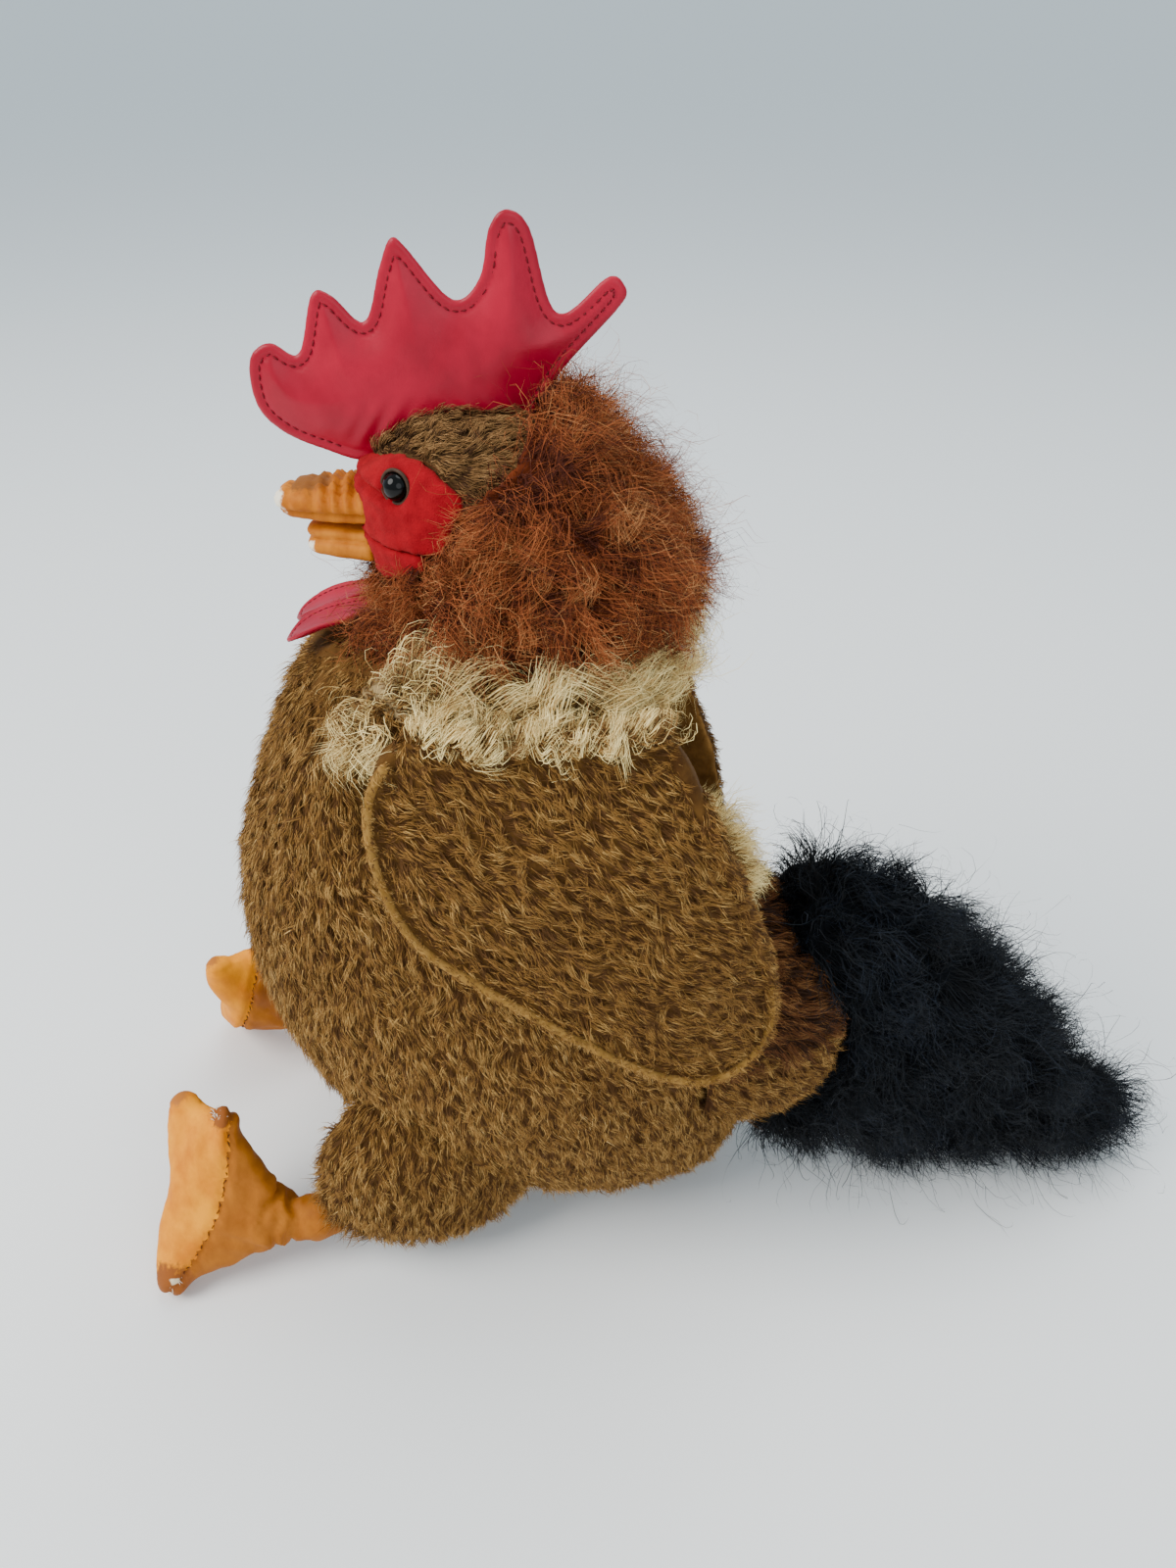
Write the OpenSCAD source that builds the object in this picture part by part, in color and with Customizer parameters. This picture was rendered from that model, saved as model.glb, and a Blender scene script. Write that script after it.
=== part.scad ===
// Sitting plush rooster hand puppet.
// Faces -Y, its left side is +X, +Z is up, and it rests on z = 0.
// Every soft solid is the outer shape of its piece, to the tips of the pile.

/* [Body] */
// Height of the plane where the head turns on the neck
neck_z = 344; // [338:1:350]
// Thickness of the plush cover of the body and the thighs
plush_t = 8; // [4:1:12]
// Half width of the hand sleeve
sleeve_r = 24; // [20:1:24]
// Distance from the middle of the sleeve to each of its round ends
sleeve_reach = 14; // [4:1:16]

/* [Head] */
// Thickness of the crown plush
crown_t = 5; // [3:0.5:8]
// Radius of the black eye dome
eye_r = 5.4; // [4:0.1:7]
// Thickness of the whole comb
comb_t = 13; // [8:1:16]
// Thickness of each vinyl panel of the comb
vinyl_t = 1.6; // [1:0.1:3]

/* [Limbs] */
// Radius of the thigh about the hip axis
thigh_r = 63; // [58:1:64]
// Angle that each leg is splayed outward
splay = 18; // [10:1:24]
// Radius of the ankle ball
ankle_r = 13; // [10:1:14]
// Thickness of the wing's plush cover
wing_t = 9; // [6:1:12]
// Thickness of the wing's lining
lining_t = 2; // [1:0.5:3]

/* [Tail] */
// Radius of the round rump that the tail swings on
rump_r = 62; // [58:1:64]
// Depth of the black pile over the tail's filling
tail_pile = 14; // [8:1:18]

/* [Fit] */
// Gap between pieces that move against each other
gap = 0.8; // [0.4:0.1:1.2]

/* [Hidden] */
far = 600;

// Places that several pieces share
neck_y = -66;
sleeve_y = -62;
hip = [47, -121, 64];
ankle = [67, -178, 29];
// The right leg sits a little further out and forward than the left one
right_leg_shift = [6, -9, 0];
// The right wing hangs a little further forward
right_wing_shift = [0, -10, 0];
tail_pivot = [0, 20, 125];
jaw_pivot = [0, -92, 380];
eye_at = [28.6, -111, 403];
eye_turn = -32;
jaw_drop = 15;
jaw_under = 30;
jaw_room = jaw_under + jaw_drop + 2;

// Level rings of a soft shape: [height, front y, back y, half width]
torso_rings = [
    [0, -120, 20, 21], [7, -130, 31, 32], [18, -138, 38, 45], [32, -148, 42, 58],
    [60, -166, 45, 75], [95, -184, 45, 86], [130, -197, 41, 92], [160, -205, 33, 93],
    [190, -207, 21, 92], [215, -206, 9, 90], [240, -201, -2, 87], [265, -192, -11, 84],
    [288, -183, -16, 80], [308, -171, -18, 75], [322, -157, -19, 70], [334, -139, -19, 65],
    [neck_z - gap, -122, -19, 60]
];
collar_rings = [
    [314, -168, -10, 77], [322, -162, -6, 80], [332, -147, -6, 78], [340, -131, -9, 68]
];
head_rings = [
    [neck_z + gap, -122, -14, 52], [355, -123, -14, 50], [366, -127, -18, 47],
    [378, -130, -24, 44], [392, -131, -32, 41], [404, -129, -42, 37],
    [414, -121, -52, 31], [421, -110, -62, 22], [425, -98, -72, 10]
];
hackle_rings = [
    [neck_z + gap, -128, 2, 61], [352, -132, 6, 67], [362, -128, 4, 68], [375, -120, -2, 67],
    [390, -110, -12, 62], [402, -100, -21, 56], [415, -95, -30, 47], [425, -88, -36, 35],
    [433, -76, -44, 20], [437, -62, -50, 8]
];
// Upright rings of the tail and the rump: [y, lowest z, highest z, half width]
tail_rings = [
    [44, 46, 180, 36], [60, 30, 200, 38], [84, 16, 208, 39], [108, 8, 203, 38],
    [130, 3, 190, 37], [152, 1, 168, 36], [176, 0.5, 142, 34], [200, 0.5, 116, 31],
    [216, 0.5, 86, 28], [236, 1, 70, 24], [252, 4, 59, 17], [264.4, 14, 46, 8]
];
rump_rings = [
    [10, 62, 186, 70], [36, 58, 188, 64], [58, 62, 182, 56], [76, 72, 168, 46], [90, 90, 150, 34]
];
upper_beak_rings = [
    [-162, 383.5, 391.5, 6], [-157, 382, 394.5, 10], [-146, 381, 395.5, 13], [-132, 381, 395.5, 16],
    [-118, 381, 396, 19]
];
lower_beak_rings = [
    [-152, 368.5, 377, 6], [-148, 366.5, 378.5, 9], [-138, 365, 379.4, 12],
    [-128, 364, 379.4, 15], [-114, 363.5, 379.4, 18]
];

// Side outlines, as [y, z]
comb_outline = [
    [-74, 404], [-60, 424], [-50, 438], [-30, 459], [-29, 465], [-35, 468], [-53, 456],
    [-62, 484], [-70, 490], [-76, 484], [-80, 468], [-90, 461], [-105, 478], [-110, 481],
    [-115, 471], [-122, 453], [-133, 462], [-140, 462], [-147, 442], [-157, 446], [-165, 440],
    [-165, 424], [-157, 414], [-142, 407], [-122, 402]
];
face_opening = [
    [-220, 450], [-67, 450], [-66, 426], [-74, 413], [-88, 404], [-97, 393], [-100, 384],
    [-103, 374], [-116, 364], [-220, 364]
];
felt_outline = [
    [-142, 381.5], [-142, 394], [-130, 402], [-120, 408], [-110, 412], [-100, 410], [-91, 404],
    [-87, 398], [-91, 390], [-95, 381.5]
];
wing_outline = [
    [-102, 334], [-116, 324], [-123, 311], [-125, 296], [-120, 268], [-107, 243], [-66, 211], [-17, 170],
    [4, 158], [22, 156], [36, 166], [40, 182], [38, 200], [33, 222], [15, 273], [1, 305], [-7, 322],
    [-16, 334]
];
wattle_outline = [
    [4, -4], [14, -7], [28, -8], [38, -5], [44, 0], [42, 4], [34, 7], [20, 7], [10, 5], [4, 3]
];
wattle_root = [9.8, -121.5, 347.5];
wattle_droop = 17;

// Middle line of a toe as [place, radius]
toe_outer = [[85, -243, 12], 10];
toe_middle = [[58, -219, 89], 9];
toe_inner = [[46, -238, 88], 9];
foot_ball = [[62, -238, 44], 18];
foot_heel = [[68, -204, 34], 15];
seam_turn = 14;
sole_lean = 21;

// ---------- shapes that repeat ----------

function signed_power(v, p) = sign(v) * pow(abs(v), p);

// A closed skin through rings of equal point counts
module skin_through(rings) {
    n = len(rings[0]);
    m = len(rings);
    sides = [for (j = [0:m - 2], i = [0:n - 1])
        [j * n + i, j * n + (i + 1) % n, (j + 1) * n + (i + 1) % n, (j + 1) * n + i]];
    polyhedron(
        points = [for (ring = rings) each ring],
        faces = concat([[for (i = [0:n - 1]) n - 1 - i]], [[for (i = [0:n - 1]) (m - 1) * n + i]],
            sides),
        convexity = 6);
}

function level_ring(r, grow, n, p) =
    let (mid = (r[1] + r[2]) / 2, deep = (r[2] - r[1]) / 2 + grow, wide = r[3] + grow)
    [for (i = [0:n - 1]) [wide * signed_power(cos(-360 * i / n), p),
        mid + deep * signed_power(sin(-360 * i / n), p), r[0]]];

function upright_ring(r, grow, n, p) =
    let (mid = (r[1] + r[2]) / 2, tall = max((r[2] - r[1]) / 2 + grow, 1), wide = max(r[3] + grow, 1))
    [for (i = [0:n - 1]) [wide * signed_power(cos(-360 * i / n), p), r[0],
        mid - tall * signed_power(sin(-360 * i / n), p)]];

module level_blob(rings, grow = 0, n = 24, p = 0.95) {
    last = len(rings) - 1;
    lift = grow < 0 ? 1 : 0;
    skin_through([for (k = [0:last]) let (r = rings[k],
        z = k == 0 ? r[0] - lift * grow : k == last ? r[0] + lift * grow : r[0])
        level_ring([z, r[1], r[2], r[3]], grow, n, p)]);
}

module upright_blob(rings, grow = 0, n = 20, p = 0.9) {
    last = len(rings) - 1;
    skin_through([for (k = [0:last]) let (r = rings[k],
        y = k == 0 ? r[0] - grow : k == last ? r[0] + grow : r[0])
        upright_ring([y, r[1], r[2], r[3]], grow, n, p)]);
}

// Turns a flat [y, z] outline into a slab that runs from x0 to x1
module side_slab(outline, x0, x1) {
    translate([x0, 0, 0])
        rotate([90, 0, 90])
            linear_extrude(x1 - x0)
                polygon(outline);
}

module both_sides(side) {
    if (side < 0) mirror([1, 0, 0]) children();
    else children();
}

module sleeve_slot(r, z0, z1) {
    translate([0, sleeve_y, z0]) {
        for (s = [-1, 1])
            translate([0, s * sleeve_reach, 0])
                cylinder(h = z1 - z0, r = r, $fn = 48);
        translate([-r, -sleeve_reach, 0])
            cube([2 * r, 2 * sleeve_reach, z1 - z0]);
    }
}

module head_bore(r, z0, z1) {
    translate([0, neck_y, z0])
        cylinder(h = z1 - z0, r = r, $fn = 48);
}

// ---------- torso ----------

module leg_side(side) {
    both_sides(side)
        translate(side < 0 ? right_leg_shift : [0, 0, 0])
            children();
}

// The round thigh, turned about the hip axis
module thigh_round(grow) {
    translate(hip)
        rotate([0, 0, splay])
            rotate([0, 90, 0])
                rotate_extrude($fn = 48)
                    polygon([[0, -14 - grow], [30 + grow, -12 - grow], [49 + grow, -3 - grow],
                        [thigh_r - 4 + grow, -grow], [thigh_r + grow, 3],
                        [thigh_r - 3 + grow, 15 + grow], [50 + grow, 27 + grow],
                        [34 + grow, 35 + grow], [0, 38 + grow]]);
}

module both_thigh_rooms(grow) {
    for (s = [1, -1])
        leg_side(s) thigh_round(grow);
}

module torso_skin() {
    color([0.55, 0.38, 0.18])
        difference() {
            level_blob(torso_rings);
            torso_filling_room();
            both_thigh_rooms(gap);
            sleeve_slot(sleeve_r + 2, -1, far);
        }
}

module torso_filling_room() {
    difference() {
        level_blob(torso_rings, -plush_t);
        both_thigh_rooms(gap + 3);
    }
}

module torso_filling() {
    color([0.92, 0.91, 0.88])
        difference() {
            torso_filling_room();
            sleeve_slot(sleeve_r + 2, -1, far);
        }
}

module hand_sleeve() {
    color([0.2, 0.16, 0.13])
        difference() {
            sleeve_slot(sleeve_r + 2, 1, neck_z - gap);
            sleeve_slot(sleeve_r, 0, far);
        }
}

module neck_collar() {
    color([0.84, 0.77, 0.6])
        difference() {
            level_blob(collar_rings);
            level_blob(torso_rings);
        }
}

module tail_round(r) {
    translate(tail_pivot)
        rotate([0, 90, 0])
            cylinder(h = 200, r = r, center = true, $fn = 96);
}

module rump_band() {
    color([0.45, 0.26, 0.1])
        difference() {
            intersection() {
                upright_blob(rump_rings);
                tail_round(rump_r);
            }
            level_blob(torso_rings);
        }
}

module back_tuft() {
    color([0.84, 0.77, 0.6])
        difference() {
            upright_blob([[4, 198, 224, 12], [18, 194, 232, 26], [27, 197, 226, 24],
                [31, 202, 216, 14]], 0, 16);
            level_blob(torso_rings);
            tail_round(rump_r);
        }
}

// ---------- head ----------

module jaw_wedge(angle, reach = 120) {
    translate(jaw_pivot)
        rotate([90, 0, 90])
            linear_extrude(160, center = true)
                polygon([[0, 0], [-reach, 0], [-reach, -reach * tan(angle)]]);
}

module head_solid() {
    level_blob(head_rings);
}

module head_inside() {
    level_blob(head_rings, -crown_t);
}

module eye_place(side) {
    both_sides(side)
        translate(eye_at)
            rotate([0, 0, eye_turn])
                rotate([0, 84, 0])
                    children();
}

module eye_room(grow) {
    for (s = [1, -1])
        eye_place(s) {
            translate([0, 0, -12])
                cylinder(h = 12, r = 2 + grow, $fn = 24);
            translate([0, 0, -7.8])
                cylinder(h = 1.8, r = 7 + grow, $fn = 32);
            translate([0, 0, -0.1])
                cylinder(h = 12, r = eye_r + 1.5 + grow, $fn = 40);
        }
}

module head_filling() {
    color([0.92, 0.91, 0.88])
        difference() {
            union() {
                head_inside();
                difference() {
                    intersection() {
                        head_solid();
                        side_slab([[-200, 300], [-200, 600], [0, 600], [0, 300]], -40, 40);
                    }
                    side_slab(face_opening, -60, 60);
                    side_slab(felt_outline, -60, 60);
                }
            }
            jaw_wedge(jaw_room);
            head_bore(28.2, neck_z, 383);
            upright_blob(upper_beak_rings, 0.1, 18, 0.85);
            eye_room(0.1);
        }
}

module head_pocket() {
    color([0.2, 0.16, 0.13])
        difference() {
            head_bore(28, neck_z + gap, 382);
            head_bore(26, neck_z, 380);
        }
}

module crown_skin() {
    color([0.47, 0.37, 0.22])
        difference() {
            intersection() {
                head_solid();
                side_slab(face_opening, -60, 60);
            }
            head_inside();
            side_slab(felt_outline, -60, 60);
            jaw_wedge(jaw_room);
            upright_blob(upper_beak_rings, 0.1, 18, 0.85);
            translate([-60, -140, 300])
                cube([120, 100, 82.5]);
        }
}

module hackle() {
    color([0.6, 0.3, 0.12])
        difference() {
            level_blob(hackle_rings);
            head_solid();
            side_slab(face_opening, -90, 90);
            jaw_wedge(jaw_room);
            comb_solid(comb_t + 1, 0.5);
            wattle_room();
        }
}

module face_patch(side) {
    color([0.8, 0.14, 0.12])
        difference() {
            intersection() {
                head_solid();
                side_slab(felt_outline, side > 0 ? 0.2 : -60, side > 0 ? 60 : -0.2);
            }
            head_inside();
            upright_blob(upper_beak_rings, 0.1, 18, 0.85);
            jaw_wedge(jaw_room);
            eye_room(0.1);
        }
}

module face_patch_left() { face_patch(1); }

module face_patch_right() { face_patch(-1); }

module comb_solid(thick, grow = 0) {
    translate([-thick / 2, 0, 0])
        rotate([90, 0, 90])
            linear_extrude(thick)
                offset(r = grow + 3, $fn = 20)
                    offset(r = -3)
                        polygon(comb_outline);
}

module comb_panel(side) {
    color([0.8, 0.16, 0.24])
        difference() {
            intersection() {
                comb_solid(comb_t);
                translate([side > 0 ? 0 : -20, -200, 380])
                    cube([20, 200, 200]);
            }
            comb_solid(comb_t - 2 * vinyl_t, -5);
            head_solid();
        }
}

module comb_left_panel() { comb_panel(1); }

module comb_right_panel() { comb_panel(-1); }

module comb_filling() {
    color([0.93, 0.92, 0.9])
        difference() {
            comb_solid(comb_t - 2 * vinyl_t, -5);
            head_solid();
        }
}

module eye(side) {
    color([0.04, 0.035, 0.03])
        eye_place(side) {
            intersection() {
                sphere(r = eye_r, $fn = 40);
                cylinder(h = 10, r = 10, $fn = 32);
            }
            translate([0, 0, -11])
                cylinder(h = 11.2, r = 2, $fn = 24);
        }
}

module eye_left() { eye(1); }

module eye_right() { eye(-1); }

module eye_rim(side) {
    color([0.3, 0.22, 0.16])
        eye_place(side)
            rotate_extrude($fn = 40)
                translate([eye_r + 0.7, 1])
                    circle(r = 0.7, $fn = 16);
}

module eye_rim_left() { eye_rim(1); }

module eye_rim_right() { eye_rim(-1); }

module eye_washer(side) {
    color([0.9, 0.9, 0.9])
        eye_place(side)
            translate([0, 0, -7.7])
                difference() {
                    cylinder(h = 1.6, r = 7, $fn = 32);
                    translate([0, 0, -1])
                        cylinder(h = 4, r = 2, $fn = 24);
                }
}

module eye_washer_left() { eye_washer(1); }

module eye_washer_right() { eye_washer(-1); }

module upper_beak_skin() {
    color([0.82, 0.56, 0.25])
        difference() {
            upright_blob(upper_beak_rings, 0, 18, 0.85);
            upright_blob(upper_beak_rings, -2, 18, 0.85);
            translate([-40, -121, 370])
                cube([80, 60, 60]);
        }
}

module upper_beak_filling() {
    color([0.93, 0.92, 0.9])
        intersection() {
            upright_blob(upper_beak_rings, -2.1, 18, 0.85);
            translate([-40, -200, 370])
                cube([80, 79, 60]);
        }
}

// ---------- jaw ----------

module lower_beak_skin() {
    color([0.82, 0.56, 0.25])
        difference() {
            upright_blob(lower_beak_rings, 0, 18, 0.85);
            upright_blob(lower_beak_rings, -2, 18, 0.85);
            translate([-40, -125, 350])
                cube([80, 60, 60]);
        }
}

module lower_beak_filling() {
    color([0.93, 0.92, 0.9])
        intersection() {
            upright_blob(lower_beak_rings, -2.1, 18, 0.85);
            translate([-40, -200, 350])
                cube([80, 75, 60]);
        }
}

module cheek_patch() {
    color([0.8, 0.14, 0.12])
        difference() {
            intersection() {
                head_solid();
                jaw_wedge(jaw_under);
                translate([-60, -170, 340])
                    cube([120, 68, 39.4]);
            }
            upright_blob(lower_beak_rings, 0.1, 18, 0.85);
            head_bore(28.6, 340, 400);
        }
}

// ---------- wattles ----------

module wattle(side) {
    color([0.8, 0.16, 0.24])
        both_sides(side)
            translate(wattle_root)
                rotate([0, wattle_droop, -90])
                    linear_extrude(2.6, center = true)
                        offset(r = 1.5, $fn = 16)
                            polygon(wattle_outline);
}

// Room in front of the throat where the wattles swing
module wattle_room() {
    translate([-45, -200, 330])
        cube([90, -121.2 + 200, 30]);
}

module wattle_left() { wattle(1); }

module wattle_right() { wattle(-1); }

// ---------- wings ----------

module wing_guide(grow) {
    level_blob([[130, -206, 74, 94], [286, -206, 74, 94], [338, -202, 68, 80]], grow, 48, 1);
}

module wing_layer(side, inner, outer) {
    both_sides(side)
        translate(side < 0 ? right_wing_shift : [0, 0, 0])
            intersection() {
                side_slab(wing_outline, 20, 140);
                difference() {
                    wing_guide(outer);
                    wing_guide(inner);
                }
            }
}

module wing_cover(side) {
    color([0.55, 0.38, 0.18])
        wing_layer(side, lining_t + 0.3, lining_t + 0.3 + wing_t);
}

module wing_lining(side) {
    color([0.42, 0.3, 0.16])
        wing_layer(side, 0.3, lining_t + 0.3);
}

module wing_left_cover() { wing_cover(1); }

module wing_left_lining() { wing_lining(1); }

module wing_right_cover() { wing_cover(-1); }

module wing_right_lining() { wing_lining(-1); }

// ---------- legs ----------

module ankle_room(grow) {
    translate(ankle)
        sphere(r = ankle_r + grow, $fn = 40);
    translate(ankle)
        rotate([78, 0, 5])
            cylinder(h = 60, r1 = ankle_r - 1 + grow, r2 = ankle_r + 36, $fn = 40);
}

module thigh_skin(side) {
    color([0.55, 0.38, 0.18])
        leg_side(side)
            difference() {
                thigh_round(0);
                thigh_round(-plush_t);
                ankle_room(gap);
            }
}

module thigh_filling(side) {
    color([0.92, 0.91, 0.88])
        leg_side(side)
            difference() {
                thigh_round(-plush_t);
                ankle_room(gap);
            }
}

module thigh_left_skin() { thigh_skin(1); }

module thigh_left_filling() { thigh_filling(1); }

module thigh_right_skin() { thigh_skin(-1); }

module thigh_right_filling() { thigh_filling(-1); }

// ---------- feet ----------

module toe_ball(toe, grow) {
    translate(toe[0])
        sphere(r = toe[1] + grow, $fn = 12);
}

module foot_shape(grow) {
    for (toe = [toe_outer, toe_middle, toe_inner])
        hull() {
            toe_ball(foot_ball, grow);
            toe_ball(toe, grow);
        }
    hull() {
        toe_ball(foot_ball, grow);
        toe_ball(foot_heel, grow);
    }
    hull() {
        toe_ball([toe_outer[0], toe_outer[1] - 3], grow);
        toe_ball([toe_middle[0], toe_middle[1] - 3], grow);
        toe_ball([toe_inner[0], toe_inner[1] - 3], grow);
        toe_ball([foot_heel[0], foot_heel[1] - 3], grow);
    }
    hull() {
        toe_ball([foot_heel[0], foot_heel[1] - 2], grow);
        toe_ball([ankle + [0, -8, 1], ankle_r - 2], grow);
    }
}

module ankle_ball(grow) {
    translate(ankle)
        sphere(r = ankle_r + grow, $fn = 40);
}

// The half space in front of the seam that runs from the middle toe to the outer toe
module front_of_seam() {
    translate(toe_outer[0])
        rotate([-sole_lean, 0, seam_turn])
            translate([-200, -200, -200])
                cube([400, 200, 400]);
}

module foot_upper(side) {
    color([0.82, 0.56, 0.25])
        leg_side(side)
            difference() {
                union() {
                    foot_shape(0);
                    ankle_ball(0);
                }
                foot_shape(-2.4);
                front_of_seam();
            }
}

module foot_sole(side) {
    color([0.78, 0.5, 0.22])
        leg_side(side)
            difference() {
                intersection() {
                    foot_shape(0);
                    front_of_seam();
                }
                foot_shape(-2.4);
            }
}

module foot_filling(side) {
    color([0.93, 0.92, 0.9])
        leg_side(side)
            foot_shape(-2.4);
}

module foot_left_upper() { foot_upper(1); }

module foot_left_sole() { foot_sole(1); }

module foot_left_filling() { foot_filling(1); }

module foot_right_upper() { foot_upper(-1); }

module foot_right_sole() { foot_sole(-1); }

module foot_right_filling() { foot_filling(-1); }

// ---------- tail ----------

// The room in front of the tail that it needs when it lifts
module tail_room(grow) {
    tail_round(rump_r + grow);
    translate(tail_pivot)
        rotate([90, 0, 90])
            linear_extrude(200, center = true)
                polygon([[-60, -160], [4, -160], [0, 0], [78, 126], [-60, 126]]);
}

module tail_skin() {
    color([0.06, 0.07, 0.1])
        difference() {
            upright_blob(tail_rings);
            upright_blob(tail_rings, -tail_pile);
            tail_room(gap);
            level_blob(torso_rings, gap);
        }
}

module tail_filling() {
    color([0.92, 0.91, 0.88])
        difference() {
            upright_blob(tail_rings, -tail_pile);
            tail_room(gap);
            level_blob(torso_rings, gap);
        }
}

torso_skin();
torso_filling();
hand_sleeve();
neck_collar();
rump_band();
back_tuft();
head_filling();
head_pocket();
crown_skin();
hackle();
face_patch_left();
face_patch_right();
comb_left_panel();
comb_right_panel();
comb_filling();
eye_left();
eye_right();
eye_rim_left();
eye_rim_right();
eye_washer_left();
eye_washer_right();
upper_beak_skin();
upper_beak_filling();
lower_beak_skin();
lower_beak_filling();
cheek_patch();
wattle_left();
wattle_right();
wing_left_cover();
wing_left_lining();
wing_right_cover();
wing_right_lining();
thigh_left_skin();
thigh_left_filling();
thigh_right_skin();
thigh_right_filling();
foot_left_upper();
foot_left_sole();
foot_left_filling();
foot_right_upper();
foot_right_sole();
foot_right_filling();
tail_skin();
tail_filling();
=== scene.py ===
import math

import bpy
import numpy as np
from mathutils import Matrix, Vector, kdtree


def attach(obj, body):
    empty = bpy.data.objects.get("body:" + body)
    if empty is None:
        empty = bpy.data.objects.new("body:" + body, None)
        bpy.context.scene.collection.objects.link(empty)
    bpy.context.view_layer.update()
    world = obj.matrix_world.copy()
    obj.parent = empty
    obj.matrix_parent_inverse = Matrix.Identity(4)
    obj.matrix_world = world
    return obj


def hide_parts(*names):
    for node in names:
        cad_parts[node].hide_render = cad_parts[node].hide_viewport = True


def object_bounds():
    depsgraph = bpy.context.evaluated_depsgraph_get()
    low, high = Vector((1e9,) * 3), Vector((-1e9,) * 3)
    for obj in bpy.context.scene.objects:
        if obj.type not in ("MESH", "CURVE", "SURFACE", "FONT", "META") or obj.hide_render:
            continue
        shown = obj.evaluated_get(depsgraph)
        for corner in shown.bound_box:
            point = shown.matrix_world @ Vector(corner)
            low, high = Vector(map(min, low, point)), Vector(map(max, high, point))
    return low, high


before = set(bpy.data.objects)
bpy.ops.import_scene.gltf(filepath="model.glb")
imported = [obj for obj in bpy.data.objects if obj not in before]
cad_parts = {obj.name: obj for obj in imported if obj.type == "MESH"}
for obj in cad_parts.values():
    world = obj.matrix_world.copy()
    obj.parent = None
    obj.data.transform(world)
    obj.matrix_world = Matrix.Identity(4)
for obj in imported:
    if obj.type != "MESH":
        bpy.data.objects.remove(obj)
CAD_LOW, CAD_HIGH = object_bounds()
MM = 0.001
# strands may stand this far outside the CAD box, and no further
HAIR_ROOM_BELOW = (0.013, 0.018, 0.010)
HAIR_ROOM_ABOVE = (0.013, 0.018, 0.012)
BOX_LOW = np.array(CAD_LOW) - HAIR_ROOM_BELOW
BOX_HIGH = np.array(CAD_HIGH) + HAIR_ROOM_ABOVE
LOWEST_HAIR = 0.0004
SCENE = bpy.context.scene

CAMERA_PLACE = (0.440, -0.042, 0.557)
CAMERA_PITCH = math.radians(34.7)
CAMERA_LENS, CAMERA_SENSOR = 27.05, 36
SKY, SKY_STRENGTH = (218, 237, 250), 0.94
LIGHTS = [
    # name, place, size, power, colour
    ("key", (0.7, -1.6, 1.9), 1.6, 64, (1.0, 0.98, 0.95)),
    ("fill", (1.9, 0.7, 1.2), 1.6, 14, (0.97, 0.98, 1.0)),
    ("top", (-0.5, 0.4, 2.2), 1.4, 21, (1.0, 1.0, 1.0)),
]
LIT_POINT = (0, 0, 0.2)


# ---------- camera, floor and light ----------


def make_camera():
    data = bpy.data.cameras.new("camera")
    data.lens = CAMERA_LENS
    data.sensor_width = CAMERA_SENSOR
    data.clip_start = 0.01
    cam = bpy.data.objects.new("camera", data)
    SCENE.collection.objects.link(cam)
    cam.location = CAMERA_PLACE
    cam.rotation_euler = (math.pi / 2 - CAMERA_PITCH, 0, math.pi / 2)
    SCENE.camera = cam


def area_light(name, place, size, power, colour):
    data = bpy.data.lights.new(name, "AREA")
    data.shape = "DISK"
    data.size = size
    data.energy = power
    data.color = colour
    lamp = bpy.data.objects.new(name, data)
    lamp.location = place
    aim = Vector(LIT_POINT) - Vector(place)
    lamp.rotation_euler = aim.to_track_quat("-Z", "Y").to_euler()
    SCENE.collection.objects.link(lamp)


def linear(r, g, b):
    """A colour given as 0-255 screen values, as the shader wants it."""
    out = []
    for c in (r, g, b):
        c /= 255
        out.append(c / 12.92 if c <= 0.04045 else ((c + 0.055) / 1.055) ** 2.4)
    return (*out, 1.0)


# ---------- materials ----------


def new_material(name, rough, sheen=0.0, sheen_tint=(255, 255, 255), specular=0.5):
    m = bpy.data.materials.new(name)
    m.use_nodes = True
    shader = m.node_tree.nodes["Principled BSDF"]
    shader.inputs["Roughness"].default_value = rough
    shader.inputs["Specular IOR Level"].default_value = specular
    shader.inputs["Sheen Weight"].default_value = sheen
    shader.inputs["Sheen Roughness"].default_value = 0.5
    shader.inputs["Sheen Tint"].default_value = linear(*sheen_tint)
    return m, m.node_tree, shader


def hair_material(name, colour, rough=0.85, sheen=0.1, specular=0.25):
    """For loose strands, too fine to carry a pattern: their mixed tones make it."""
    m, _, shader = new_material(name, rough, sheen, colour, specular)
    shader.inputs["Base Color"].default_value = linear(*colour)
    return m


def wired(tree, kind, output, inputs, **settings):
    """A shader node whose inputs are given values or links, and its output."""
    node = tree.nodes.new(f"ShaderNode{kind}")
    for key, value in settings.items():
        setattr(node, key, value)
    for key, value in inputs.items():
        if isinstance(value, bpy.types.NodeSocket):
            tree.links.new(value, node.inputs[key])
        else:
            node.inputs[key].default_value = value
    return node.outputs[output]


def mix_colour(tree, factor, a, b):
    return wired(tree, "Mix", "Result", {"Factor": factor, "A": a, "B": b}, data_type="RGBA")


def noise_node(tree, coords, size, detail=4.0, stretch=(1, 1, 1)):
    scale = tuple(s / size for s in stretch)
    vector = wired(tree, "Mapping", "Vector", {"Scale": scale, "Vector": coords})
    return wired(tree, "TexNoise", "Fac", {
        "Scale": 1.0, "Detail": detail, "Roughness": 0.6, "Vector": vector,
    })


def ramp_node(tree, value, low, high):
    return wired(tree, "MapRange", "Result", {"From Min": low, "From Max": high, "Value": value})


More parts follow.
